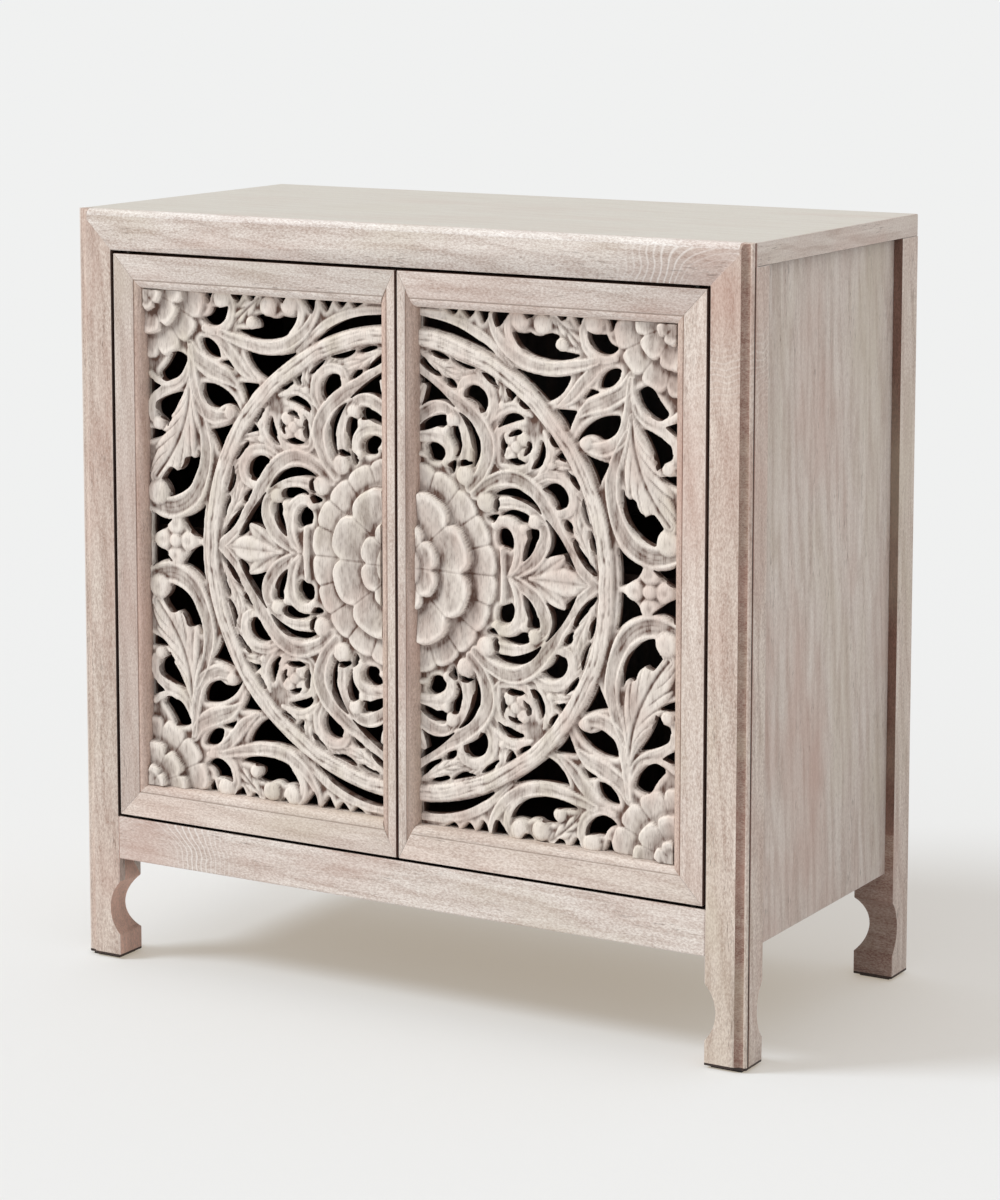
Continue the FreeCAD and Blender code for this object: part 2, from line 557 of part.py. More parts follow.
def carved_panel(side, sign):
    """The pierced panel: a plate with the fretwork cut through, and the carved forms standing on it."""
    module = FreeCAD.Vector(size(SIGHT_FAR) / MODULES_ACROSS_SHARE, 0,
                            (size(SIGHT_HIGH) - size(SIGHT_LOW)) / 2 / MODULES_UP_SHARE)
    middle = (size(SIGHT_HIGH) + size(SIGHT_LOW)) / 2
    face = size(f"{FRONT} + panel_seat")

    def spot(across, up):
        return FreeCAD.Vector(sign * across * module.x, face, middle + up * module.z)

    openings = Part.makeCompound([gouged(chain, spot) for chain in
                                  mirrored_chains(MEDALLION_SHARES, CORNER_SHARES)])

    play = size("relief_play")
    sight = flat_rectangle(sorted((sign * (size(SIGHT_NEAR) + play), sign * (size(SIGHT_FAR) - play))),
                           (size(SIGHT_LOW) + play, size(SIGHT_HIGH) - play), face)
    tongue = size("rebate_width - panel_play")
    plate = flat_rectangle(sorted((sign * (size(SIGHT_NEAR) - tongue), sign * (size(SIGHT_FAR) + tongue))),
                           (size(SIGHT_LOW) - tongue, size(SIGHT_HIGH) + tongue), face)
    plate = plate.cut(openings.common(sight))
    solids = [plate.extrude(BACKWARD * size("panel_thickness"))]

    # What stands proud of the plate, all within the sight of the frame
    raised = [(disc((0, 0), RING_OUTER_SHARE, spot).cut(disc((0, 0), RING_INNER_SHARE, spot)),
               size("ring_rise"))]
    raised += [(gouged(chain, spot), size("band_rise")) for chain in mirrored_chains(BAND_SHARES, [])]
    raised += [(disc((across, up), radius, spot), size("boss_rise"))
               for across, up, radius in FLOWER_BOSS_SHARES]
    for level, layer in enumerate(ROSETTE_SHARES, 1):
        raised.append((scalloped((0, 0), layer, spot), level * size("petal_rise")))
    for turn in (-1, 1):
        for level, layer in enumerate(CORNER_ROSETTE_SHARES, 1):
            corner = (MODULES_ACROSS_SHARE, turn * MODULES_UP_SHARE)
            raised.append((scalloped(corner, layer, spot), level * size("petal_rise")))
    for form, rise in raised:
        for part in form.common(sight).cut(openings).Faces:
            solids.append(part.extrude(BACKWARD * -rise))
    made = doc.addObject("Part::Feature", f"{side}_door_carved_panel")
    made.Shape = solids[0].multiFuse(solids[1:]).removeSplitter().Solids[0]
    return keep(made)


# Doors
for side, sign in SIDES:
    door = f"{side}_door"
    span = mirrored(sign, DOOR_NEAR, DOOR_FAR)
    stiles = [("hanging", HANGING), ("meeting", MEETING)][::-sign]
    tall = f"({DOOR_HIGH} - {DOOR_LOW})"
    wide = f"({DOOR_FAR} - {DOOR_NEAR})"
    corners = ((span[0], FRONT, DOOR_LOW), (span[1], FRONT, DOOR_HIGH))
    for edge, (stile, _), corner in zip(("left", "right"), stiles, corners):
        keep(frame_member(f"{door}_{stile}_stile", edge, f"{stile}_flat", tall, (DOOR_RAIL, DOOR_RAIL),
                          corner))
    widths = [width for _, width in stiles]
    top_bar = frame_member(f"{door}_top_bar", "top", "door_rail_flat", wide, widths,
                           (span[0], FRONT, DOOR_HIGH))
    bottom_bar = frame_member(f"{door}_bottom_bar", "bottom", "door_rail_flat", wide, widths[::-1],
                              (span[1], FRONT, DOOR_LOW))

    # Pivot bushes let into the rails, round the pins
    place = (on_side(sign, PIVOT_ACROSS), PIVOT_DEEP)
    bushes = []
    sockets = []
    for end, start in (("upper", f"({DOOR_HIGH} - bush_length)"), ("lower", DOOR_LOW)):
        socket = rod(f"{door}_{end}_socket", "bush_radius", "bush_length", (*place, start), UP)
        bore = rod(f"{door}_{end}_bore", BUSH_BORE, "bush_length", (*place, start), UP)
        sockets.append(socket)
        bushes.append(cut(f"{door}_{end}_bush", socket, [bore]))
    keep(cut(f"{door}_top_rail", top_bar, [sockets[0]]))
    keep(cut(f"{door}_bottom_rail", bottom_bar, [sockets[1]]))
    group(f"{door}_pivot_bushes", bushes)

    carved_panel(side, sign)

    # Beads that hold the panel in its rebate from behind
    bead_deep = (f"({FRONT} + panel_seat + panel_thickness)", DOOR_BACK)
    near = mirrored(sign, f"({SIGHT_NEAR} - rebate_width)", SIGHT_NEAR)
    far = mirrored(sign, SIGHT_FAR, f"({SIGHT_FAR} + rebate_width)")
    between = mirrored(sign, SIGHT_NEAR, SIGHT_FAR)
    lift = (f"({SIGHT_LOW} - rebate_width)", f"({SIGHT_HIGH} + rebate_width)")
    group(f"{door}_panel_beads", [
        box(f"{door}_near_bead", near, bead_deep, lift),
        box(f"{door}_far_bead", far, bead_deep, lift),
        box(f"{door}_low_bead", between, bead_deep, (lift[0], SIGHT_LOW)),
        box(f"{door}_high_bead", between, bead_deep, (SIGHT_HIGH, lift[1]))])

    # Strike plate on the back of the top rail, in front of the catch
    keep(box(f"{door}_strike_plate", mirrored(sign, *CATCH_SPAN),
             (DOOR_BACK, f"({DOOR_BACK} + strike_thickness)"), CATCH_LIFT))

doc.recompute()

# Every step and every sub-part has to be sound before anything is written
failed = [item.Name for item in doc.Objects if {"Invalid", "Error"} & set(item.State)]
unsound = [piece.Label for piece in pieces if piece.Shape.isNull() or not piece.Shape.isValid()]
if failed or unsound:
    raise RuntimeError(f"failed: {failed}; unsound: {unsound}")
os.makedirs("parts", exist_ok=True)
for piece in pieces:
    piece.Shape.exportStep(f"parts/{piece.Label}.step")
    print(piece.Label, len(piece.Shape.Solids), round(piece.Shape.Volume))
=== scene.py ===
import json
import math
from collections import namedtuple

import bmesh
import bpy
import numpy as np
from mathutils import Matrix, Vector, geometry

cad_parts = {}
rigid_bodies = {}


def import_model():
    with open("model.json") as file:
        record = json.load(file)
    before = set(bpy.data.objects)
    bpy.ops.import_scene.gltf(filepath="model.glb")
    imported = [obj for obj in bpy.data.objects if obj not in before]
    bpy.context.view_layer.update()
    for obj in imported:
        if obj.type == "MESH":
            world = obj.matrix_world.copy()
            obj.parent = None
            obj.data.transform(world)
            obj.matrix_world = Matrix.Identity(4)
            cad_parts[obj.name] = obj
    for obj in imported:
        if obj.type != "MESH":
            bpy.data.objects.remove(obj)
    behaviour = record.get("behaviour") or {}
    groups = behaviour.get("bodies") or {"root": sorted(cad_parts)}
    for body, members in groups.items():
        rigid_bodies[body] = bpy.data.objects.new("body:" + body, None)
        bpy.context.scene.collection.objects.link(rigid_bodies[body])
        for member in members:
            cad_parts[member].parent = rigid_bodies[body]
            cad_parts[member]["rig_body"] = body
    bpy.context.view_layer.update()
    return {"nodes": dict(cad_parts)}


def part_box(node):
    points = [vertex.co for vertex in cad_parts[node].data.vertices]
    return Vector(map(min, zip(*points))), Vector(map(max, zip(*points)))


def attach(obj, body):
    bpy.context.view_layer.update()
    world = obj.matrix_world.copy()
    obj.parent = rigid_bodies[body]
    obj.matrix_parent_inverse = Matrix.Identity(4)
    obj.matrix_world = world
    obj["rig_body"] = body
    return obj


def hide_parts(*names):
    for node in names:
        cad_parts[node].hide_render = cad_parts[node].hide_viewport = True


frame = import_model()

bl_info = {
    "name": "Carved storage cabinet",
    "version": (1, 0, 0),
    "blender": (4, 5, 0),
    "location": "3D View > Sidebar > Cabinet",
    "description": "Dresses a whitewashed cabinet with carved doors and sets it on a plain stage",
    "category": "Object",
}

NODES = frame["nodes"]
MILLIMETRE = 0.001

# The carving is drawn in modules of about a hundred millimetres, from the middle of the pair of
# doors: across first, then up. Only the upper half is drawn, and the lower half mirrors it.
MODULE = 100
MODULES_ACROSS = 3.575
MODULES_UP = 3.02

# Openings of the medallion between the level axis and the diagonal, as closed chains of gouge cuts:
# a corner, a point on the arc, the next corner, and so on. They repeat across the diagonal.
MEDALLION_OPENINGS = [
    [(1.22, 0.93), (1.56, 0.995), (1.83, 0.76), (1.53, 0.91)],
    [(1.32, 0.71), (1.49, 0.77), (1.66, 0.73), (1.67, 0.69), (1.65, 0.65), (1.59, 0.645),
     (1.53, 0.665), (1.44, 0.715)],
    [(1.27, 0.51), (1.36, 0.54), (1.43, 0.48), (1.46, 0.39), (1.42, 0.32), (1.34, 0.35),
     (1.28, 0.37), (1.26, 0.44)],
    [(1.60, 0.20), (1.625, 0.34), (1.67, 0.46), (1.66, 0.51), (1.66, 0.55), (1.72, 0.565),
     (1.78, 0.55), (1.755, 0.38)],
    [(1.90, 0.69), (2.09, 0.47), (2.28, 0.15), (2.21, 0.19), (2.15, 0.25), (2.15, 0.29),
     (2.12, 0.325), (2.02, 0.305), (1.90, 0.26), (1.975, 0.46)],
    [(1.85, 1.05), (2.02, 1.10), (2.15, 0.93), (2.12, 0.86), (2.03, 0.83), (1.96, 0.96)],
    [(2.15, 1.27), (2.25, 1.18), (2.31, 1.06), (2.22, 1.15)],
    [(2.36, 0.97), (2.40, 0.82), (2.45, 0.66), (2.365, 0.79)],
    [(2.44, 0.60), (2.49, 0.50), (2.51, 0.36), (2.455, 0.47)],
    [(2.24, 0.49), (2.42, 0.29), (2.53, 0.12), (2.36, 0.26)],
    [(2.12, 0.70), (2.19, 0.66), (2.22, 0.56), (2.15, 0.61)],
    [(2.01, 1.42), (2.045, 1.45), (2.08, 1.48), (2.11, 1.43), (2.14, 1.38), (2.075, 1.40)],
    [(1.94, 1.68), (1.985, 1.605), (2.03, 1.53), (1.955, 1.585)],
    [(1.38, 1.33), (1.50, 1.36), (1.60, 1.33), (1.50, 1.30)],
    [(1.70, 1.27), (1.83, 1.36), (1.82, 1.58), (1.76, 1.40)],
    [(1.13, 0.66), (1.17, 0.635), (1.22, 0.62), (1.25, 0.655), (1.27, 0.69), (1.20, 0.685)],
    [(1.61, 1.41), (1.67, 1.47), (1.66, 1.57), (1.63, 1.49)],
    [(1.225, 0.745), (1.285, 0.815), (1.255, 0.90), (1.225, 0.82)],
]

# Openings of one corner outside the ring, drawn the same way
CORNER_OPENINGS = [
    [(0.20, 2.88), (0.75, 2.80), (1.20, 2.53), (0.75, 2.70), (0.20, 2.795), (0.20, 2.84)],
    [(1.20, 3.06), (1.30, 3.06), (1.40, 3.06), (1.31, 2.93), (1.24, 2.85), (1.205, 2.93)],
    [(1.45, 2.79), (1.57, 2.62), (1.75, 2.54), (2.00, 2.515), (2.28, 2.585), (2.12, 2.60),
     (1.98, 2.63), (1.975, 2.70), (2.03, 2.77), (1.96, 2.79), (1.86, 2.78), (1.76, 2.75),
     (1.66, 2.79), (1.55, 2.77)],
    [(2.42, 2.86), (2.47, 2.71), (2.60, 2.63), (2.70, 2.64), (2.78, 2.70), (2.68, 2.75),
     (2.64, 2.83), (2.53, 2.83)],
    [(2.56, 2.25), (2.62, 2.40), (2.81, 2.45), (2.74, 2.31)],
    [(2.37, 2.12), (2.40, 2.165), (2.43, 2.21), (2.48, 2.20), (2.53, 2.19), (2.45, 2.16)],
    [(1.49, 2.37), (1.83, 2.31), (2.17, 2.34), (2.07, 2.16), (1.90, 2.05), (1.72, 2.20)],
    [(2.01, 1.95), (2.13, 1.955), (2.26, 1.95), (2.20, 1.83), (2.17, 1.75), (2.10, 1.86)],
    [(2.28, 1.62), (2.45, 1.83), (2.80, 1.92), (2.78, 1.77), (2.58, 1.66), (2.45, 1.71)],
    [(2.39, 1.46), (2.53, 1.41), (2.68, 1.38), (2.60, 1.25), (2.55, 1.14), (2.48, 1.31)],
    [(3.03, 2.22), (3.12, 2.27), (3.22, 2.27), (3.29, 2.15), (3.40, 2.02), (3.36, 1.945),
     (3.27, 1.94), (3.12, 2.04)],
    [(3.40, 1.86), (3.51, 1.90), (3.62, 1.94), (3.62, 1.84), (3.62, 1.74), (3.50, 1.79)],
    [(3.10, 1.80), (3.28, 1.75), (3.45, 1.66), (3.47, 1.57), (3.40, 1.48), (3.35, 1.44),
     (3.30, 1.38), (3.23, 1.58)],
    [(3.35, 1.30), (3.48, 1.31), (3.62, 1.30), (3.62, 1.25), (3.62, 1.20), (3.48, 1.23)],
    [(2.86, 1.10), (2.89, 1.03), (2.95, 1.00), (2.99, 1.02), (3.04, 1.00), (3.08, 0.90),
     (3.16, 0.83), (3.21, 0.865), (3.27, 0.87), (3.33, 0.80), (3.38, 0.73), (3.30, 0.65),
     (3.27, 0.53), (2.97, 0.72)],
    [(2.80, 0.45), (2.92, 0.345), (3.10, 0.27), (3.00, 0.13), (2.84, 0.05), (2.83, 0.25)],
    [(3.26, 0.25), (3.40, 0.24), (3.54, 0.33), (3.55, 0.20), (3.54, 0.06), (3.39, 0.14)],
    # Nicks between the leaf tips under the top of the frame
    [(0.52, 3.06), (0.62, 3.06), (0.72, 3.06), (0.70, 3.00), (0.66, 2.96), (0.60, 3.00)],
    [(0.76, 3.06), (0.85, 3.06), (0.94, 3.06), (0.91, 2.99), (0.86, 2.94), (0.81, 2.99)],
    [(0.96, 3.06), (1.05, 3.06), (1.14, 3.06), (1.10, 2.96), (1.05, 2.89), (1.01, 2.97)],
    [(1.57, 3.06), (1.65, 3.06), (1.73, 3.06), (1.69, 3.00), (1.64, 2.96), (1.61, 3.00)],
    [(2.00, 3.06), (2.07, 3.06), (2.14, 3.06), (2.12, 3.00), (2.08, 2.96), (2.04, 3.00)],
    [(2.22, 3.06), (2.30, 3.06), (2.38, 3.06), (2.34, 2.98), (2.29, 2.93), (2.26, 2.98)],
    [(2.65, 3.06), (2.70, 3.06), (2.76, 3.06), (2.75, 2.97), (2.71, 2.90), (2.69, 2.97)],
]

# Bands that run through the carving: the line of the middle and half widths along it in modules,
# the rise, and the depth of the hollow down the middle, in millimetres
Band = namedtuple("Band", "line half rise hollow")
MEDALLION_BANDS = [
    # Ogee arch from the ball by the rosette to the cusp at the ring
    Band([(0.97, 0.90), (1.15, 1.05), (1.35, 1.13), (1.55, 1.125), (1.76, 1.00), (1.93, 0.78),
         (2.10, 0.50), (2.30, 0.24), (2.54, 0.00)], (0.05, 0.085, 0.085, 0.075, 0.05), 4.4, 1.3),
    # Inner arch that ends in the curl by the rosette
    Band([(1.24, 0.82), (1.40, 0.85), (1.58, 0.84), (1.74, 0.77), (1.86, 0.66)],
         (0.05, 0.055, 0.06, 0.055, 0.03), 3.6, 1.0),
    # Arm of the fork, which bends back to a ball beside the palmette
    Band([(1.40, 0.00), (1.54, 0.06), (1.76, 0.23), (1.875, 0.42), (1.88, 0.57), (1.80, 0.66)],
         (0.02, 0.055, 0.08, 0.085, 0.065, 0.045), 4.0, 1.3),
    # Shoot between the arm and the curl
    Band([(1.52, 0.08), (1.58, 0.22), (1.61, 0.38), (1.62, 0.54)], (0.03, 0.04, 0.045, 0.05), 3.0,
         0.0),
    # Stem of the inner curl, round the eye
    Band([(1.43, 0.04), (1.50, 0.14), (1.54, 0.27), (1.545, 0.42), (1.51, 0.55), (1.42, 0.63),
         (1.31, 0.64), (1.24, 0.59)], (0.03, 0.05, 0.055, 0.06, 0.06, 0.055, 0.05, 0.045), 4.0,
         0.7),
    # Bracket bar beside the rosette
    Band([(1.335, 0.00), (1.333, 0.15), (1.325, 0.31)], (0.03, 0.03, 0.025), 4.6, 0.0),
    # Scroll that hangs from the back of the ogee arch
    Band([(1.72, 1.12), (1.90, 1.20), (2.10, 1.17), (2.22, 1.00), (2.20, 0.84), (2.10, 0.77)],
         (0.035, 0.05, 0.055, 0.05, 0.045), 3.0, 0.6),
    # Leafy frame round the flower on the diagonal
    Band([(1.20, 1.30), (1.36, 1.24), (1.55, 1.24), (1.68, 1.30), (1.70, 1.46)],
         (0.02, 0.045, 0.05, 0.045, 0.02), 3.0, 0.5),
    Band([(1.78, 1.18), (1.90, 1.34), (1.94, 1.50), (1.86, 1.70)], (0.02, 0.05, 0.05, 0.015), 2.8,
         0.5),
]

CORNER_BANDS = [
    # Scroll under the top of the frame
    Band([(1.16, 2.98), (1.22, 2.80), (1.38, 2.60), (1.62, 2.46), (1.92, 2.41), (2.24, 2.46),
         (2.52, 2.54)], (0.03, 0.05, 0.06, 0.07, 0.07, 0.06, 0.04), 3.8, 1.0),
    Band([(1.46, 3.00), (1.39, 2.88), (1.42, 2.72), (1.56, 2.56)], (0.04, 0.045, 0.045, 0.03),
         3.0, 0.0),
    # Curl beside the corner rosette
    Band([(2.40, 3.00), (2.36, 2.84), (2.42, 2.66), (2.58, 2.56), (2.76, 2.58)],
         (0.04, 0.045, 0.05, 0.045, 0.03), 3.2, 0.7),
    # Leaves between the top scroll and the side scroll
    Band([(2.06, 2.00), (2.22, 2.12), (2.36, 2.28), (2.52, 2.44), (2.70, 2.52)],
         (0.02, 0.06, 0.07, 0.06, 0.03), 3.0, 0.9),
    Band([(2.28, 1.90), (2.45, 2.02), (2.66, 2.10), (2.86, 2.22), (2.96, 2.40)],
         (0.02, 0.08, 0.10, 0.08, 0.04), 3.2, 1.0),
    # Scroll that turns back under the side leaf
    Band([(2.96, 2.36), (2.94, 2.10), (2.90, 1.84), (2.82, 1.66), (2.62, 1.54), (2.42, 1.56)],
         (0.03, 0.05, 0.06, 0.07, 0.08, 0.05), 3.6, 0.9),
    # Twig under the corner rosette
    Band([(3.18, 1.93), (3.32, 1.90), (3.44, 1.92), (3.54, 2.00)], (0.03, 0.04, 0.04, 0.03), 3.0,
         0.0),
    # Curl that runs down beside the frame to a ball
    Band([(2.99, 2.14), (3.08, 1.96), (3.24, 1.86), (3.42, 1.77), (3.53, 1.62), (3.53, 1.46)],
         (0.03, 0.05, 0.06, 0.06, 0.055, 0.04), 3.6, 0.9),
    # Side scroll that ends in a ball
    Band([(2.92, 1.76), (2.79, 1.44), (2.73, 1.15), (2.77, 0.88), (2.90, 0.59), (3.11, 0.43),
         (3.32, 0.39), (3.52, 0.43)], (0.03, 0.055, 0.07, 0.075, 0.09, 0.105, 0.115, 0.09), 4.2,
         1.6),
    # Feather that follows the ring
    Band([(0.22, 2.95), (0.55, 2.91), (0.85, 2.82), (1.12, 2.68), (1.32, 2.50), (1.44, 2.40)],
         (0.03, 0.05, 0.055, 0.05, 0.035, 0.02), 2.8, 0.7),
]

# Leaves: the midrib, half widths along it, the rise, the number of veins on each side, how far
# along the leaf a vein runs before it meets the edge, and the share of its full depth that the
# midrib has
Leaf = namedtuple("Leaf", "line half rise veins fan rib")
MEDALLION_LEAVES = [
    # Side lobe and middle lobe of the palmette
    Leaf([(1.72, 0.02), (1.90, 0.13), (2.04, 0.23), (2.15, 0.30)], (0.06, 0.11, 0.10, 0.07), 3.2,
         1, 0.0, 0.35),
    Leaf([(1.68, 0.00), (1.95, 0.00), (2.20, 0.00), (2.42, 0.00)],
         (0.05, 0.08, 0.14, 0.17, 0.15, 0.07), 4.4, 1, 0.0, 0.35),
    # Feathers along the inside of the ring
    Leaf([(2.52, 0.20), (2.40, 0.42), (2.29, 0.64), (2.24, 0.84)], (0.02, 0.08, 0.085, 0.03), 3.2,
         4, 0.3, 0.5),
    Leaf([(2.54, 0.56), (2.45, 0.76), (2.33, 1.00), (2.20, 1.14)], (0.02, 0.06, 0.065, 0.03), 3.0,
         4, 0.3, 0.3),
    Leaf([(2.36, 1.12), (2.25, 1.28), (2.10, 1.34), (1.92, 1.30)], (0.02, 0.07, 0.075, 0.03), 3.2,
         3, 0.3, 0.5),
]
CORNER_LEAVES = [
    Leaf([(2.97, 1.94), (3.01, 1.62), (3.11, 1.30), (3.26, 1.02), (3.46, 0.76)],
         (0.05, 0.13, 0.23, 0.27, 0.25, 0.13), 4.6, 5, 0.5, 1.0),
    Leaf([(1.98, 2.99), (2.14, 2.86), (2.30, 2.70), (2.36, 2.60)], (0.06, 0.09, 0.07, 0.02), 3.0,
         3, 0.25, 1.0),
]

# Balls: place, radius in modules and rise in millimetres
MEDALLION_BALLS = [
    (1.11, 0.84, 0.12, 5.6),
    (1.745, 0.665, 0.09, 5.2),
    (1.25, 0.585, 0.06, 4.6),
    (1.61, 0.56, 0.065, 4.4),
    (2.06, 0.80, 0.075, 4.0),
    (1.95, 1.32, 0.05, 3.6),
    (1.50, 1.50, 0.075, 5.0),
]
CORNER_BALLS = [
    (1.55, 2.93, 0.12, 5.4),
    (1.84, 2.90, 0.12, 5.4),
    (2.50, 2.95, 0.12, 5.2),
    (2.08, 2.69, 0.08, 4.4),
    (3.44, 0.57, 0.155, 6.0),
    (2.40, 1.60, 0.08, 4.4),
    (3.44, 1.40, 0.085, 5.0),
    (3.21, 0.00, 0.09, 5.2),
]

# Small flowers: middle, distance to the petals, petal radius, rise, number of petals, and turn of
# the first in degrees
MEDALLION_FLOWERS = [
    (1.50, 1.50, 0.125, 0.085, 3.8, 4, 45),
]
CORNER_FLOWERS = [
    (3.21, 0.00, 0.19, 0.125, 3.8, 4, 0),
]

# Rounds of petals: radius to the tips, depth of the notches, petal pitch in degrees, turn of the
# first groove in degrees, rise at the tips and at the inner edge
ROSETTE_ROUNDS = [
    (1.26, 0.05, 17.14, 0, 4.6, 2.6),
    (0.97, 0.13, 40, 0, 13.0, 8.6),
    (0.55, 0.09, 45, 0, 16.2, 13.0),
]
CORNER_ROUNDS = [
    (0.84, 0.10, 25.71, 0, 5.0, 3.2),
    (0.55, 0.10, 40, 20, 11.0, 8.4),
    (0.27, 0.06, 45, 0, 15.6, 13.6),
]

# The ring and the button of the rosette, in modules and millimetres
RING_MIDDLE, RING_HALF, RING_RISE = 2.67, 0.10, 6.2
BUTTON_RADIUS, BUTTON_FOOT, BUTTON_RISE = 0.30, 14.4, 2.4

# The ribbons fill the bars between the openings, and the edges of these are worn back by a
# millimetre. Bands, leaves and flowers stand higher than drawn, and balls a little less.
RIBBON = 1.3
WORN_BACK = 1.0
LIFT, BALL_LIFT = 1.35, 1.25
# How far a hand's cuts stray from the drawing in modules, and the gouge's ripple in millimetres
DRIFT = 0.006
RIPPLE = 0.12
# Openings count within the near distance, and everything else is as good as far, in modules
NEAR, FAR = 0.2, 0.25
# Shares of the brown wash that come on top of what each form holds. In the hollows and down
# the walls of the openings, the wash is partly painted shade.
WASH_ALL_OVER, SHADE_AND_WASH_IN_HOLLOWS = 0.175, 0.38
WASH_ON_TONGUE, SHADE_AND_WASH_ON_WALLS = 0.5, 0.75

# Knots that show through the paint in front, by board: one in the right mitre, and one at the left
# of the bottom rail
KNOTS = {
    "front_top_rail": (0.415, -0.22, 0.858),
    "front_right_post": (0.415, -0.22, 0.858),
    "front_bottom_rail": (-0.365, -0.22, 0.135),
}

# Paints: how much of the wood shows through, and how strong the grit is
WOOD_AND_GRIT = {
    "whitewash": (0.55, 0.56), "door_wash": (0.45, 0.5), "rail_wash": (0.5, 0.5),
    "side_wash": (0.6, 0.3), "top_wash": (0.15, 0.15), "worn_edge": (0.25, 0.3),
    "thin_wash": (0.6, 0.75), "missed_wash": (0.45, 0.5), "leg_wash": (0.35, 0.4),
    "chalk_and_highlight": (0.35, 0.5),
}

# Places of the finishes on a board, and of the last two on the top
FACE, WORN, DARK, THIN, MISSED, PINK = range(6)
TOP_END, TOP_UNDER = 2, 3


def linear(code):
    """Linear colour for an sRGB hex value."""
    parts = [int(code[place:place + 2], 16) / 255 for place in (1, 3, 5)]
    return tuple(part / 12.92 if part <= 0.04045 else ((part + 0.055) / 1.055) ** 2.4
                 for part in parts)


def colour(name, description, code):
    """A colour that a user can change."""
    return bpy.props.FloatVectorProperty(name=name, description=description, subtype="COLOR",
                                         size=3, min=0, max=1, default=linear(code))


def length(name, description, millimetres):
    """A length that a user can change."""
    return bpy.props.FloatProperty(name=name, description=description, unit="LENGTH", precision=5,
                                   min=0, default=millimetres * MILLIMETRE)


class CabinetFinishes(bpy.types.PropertyGroup):
    whitewash: colour("Whitewash", "Limed paint on the posts and the back rails", "#E8DCD0")
    door_wash: colour("Door wash", "Thicker paint on the door frames", "#EADFD5")
    rail_wash: colour("Rail wash", "Whiter paint on the front and top door rails", "#F2EBE3")
    side_wash: colour("Side wash", "Greyer paint on the sides and top ends", "#E0D6CC")
    top_wash: colour("Top wash", "Thicker, greyer paint on the top", "#D7D4CB")
    thin_wash: colour("Thin wash", "Paint wiped thin in a moulding and on the back legs", "#B49E90")
    # Partly a real pinker paint, partly painted shade on the door stiles' mouldings
    moulding_wash_and_shade: colour("Moulding wash", "Pinker paint on the door mouldings", "#DDC8BB")
    leg_wash: colour("Leg wash", "Pink paint in the cuts of the legs", "#F0C6B2")
    # Partly thick paint, partly a painted highlight along the top rail's rounded edge
    chalk_and_highlight: colour("Chalk", "Thick paint along the top's front edge and in the knots", "#FCF8F3")
    missed_wash: colour("Missed wash", "Reddish wood that the brush missed", "#846356")
    bare_wood: colour("Bare wood", "Wood that shows through along the grain", "#A58C7E")
    fleck: colour("Fleck", "Dark pores that the paint didn't fill", "#6B574D")
    warm_tint: colour("Warm tint", "Reddish wood that shows in some patches", "#BC9485")
    olive_tint: colour("Olive tint", "Greenish sapwood that shows in others", "#C3B8A2")
    worn_edge: colour("Worn edge", "Paint rubbed pale along the edges", "#DDD3CA")
    carving_face: colour("Carving", "Paint on the raised forms of the carving", "#F2E9DF")
    # Partly a real brown wash, partly painted shade in the carving's hollows and walls
    carving_wash_and_shade: colour("Carving wash", "Brown wash that stays in the recesses", "#5F463B")
    stain: colour("Stain", "Dark stain inside the cabinet", "#2A1D17")
    stain_streak: colour("Stain streak", "Paler streaks of the stained wood", "#453026")
    floor: colour("Floor", "Studio floor", "#EAEAEB")


class CabinetSizes(bpy.types.PropertyGroup):
    arris: length("Worn arris", "Width of the worn edge of the case boards", 1.6)
    ridge: length("Ridge", "Height of the rounded front edge of the top", 7)
    door_arris: length("Door arris", "Width of the worn edge of the door frames", 0.7)
    door_moulding: length("Door moulding", "Width of the moulding beside the carved panel", 11)
    carving_step: length("Carving step", "Spacing of the points that the carving is made of", 1.5)
    edge_round: length("Carving edge", "Radius that rounds the edges of the openings", 1.6)
    pore_width: length("Pore width", "Width of the open pores, drawn coarse enough to show", 1.7)
    figure_width: length("Figure width", "Spacing of the growth rings on a board's face", 13)


class CabinetStage(bpy.types.PropertyGroup):
    azimuth: bpy.props.FloatProperty(
        name="Azimuth", description="Turn of the camera from the front", unit="ROTATION",
        default=math.radians(30.51))
    elevation: bpy.props.FloatProperty(
        name="Elevation", description="Tilt of the camera", unit="ROTATION",
        default=math.radians(7.52))
    lens: bpy.props.FloatProperty(
        name="Lens", description="Focal length for a frame 36 mm high", unit="CAMERA",
        default=105.48)
    key_strength: bpy.props.FloatProperty(
        name="Key light", description="Strength of the soft light from the left", min=0,
        default=1.85)
    key_softness: bpy.props.FloatProperty(
        name="Softness", description="Angle that the soft light fills", unit="ROTATION", min=0,
        default=math.radians(18))
    sky: bpy.props.FloatProperty(
        name="Sky", description="Strength of the even light of the room", min=0, default=0.68)


def add(tree, kind, values=None, out=0, **settings):
    """Adds a node with its settings, gives its inputs values or links, and returns an output."""
    made = tree.nodes.new(kind)
    for setting, value in settings.items():
        setattr(made, setting, value)
    for socket, value in (values or {}).items():
        if isinstance(value, bpy.types.NodeSocket):
            tree.links.new(value, made.inputs[socket])
        else:
            made.inputs[socket].default_value = value
    return made.outputs[out]


def new_material(name):
    """A new material, with its nodes and its shader."""
    material = bpy.data.materials.new(name)
    material.use_nodes = True
    tree = material.node_tree
    return material, tree, tree.nodes["Principled BSDF"]


def opaque(colours):
    """A colour with nothing see-through about it, as sockets take it."""
    return (*colours, 1)


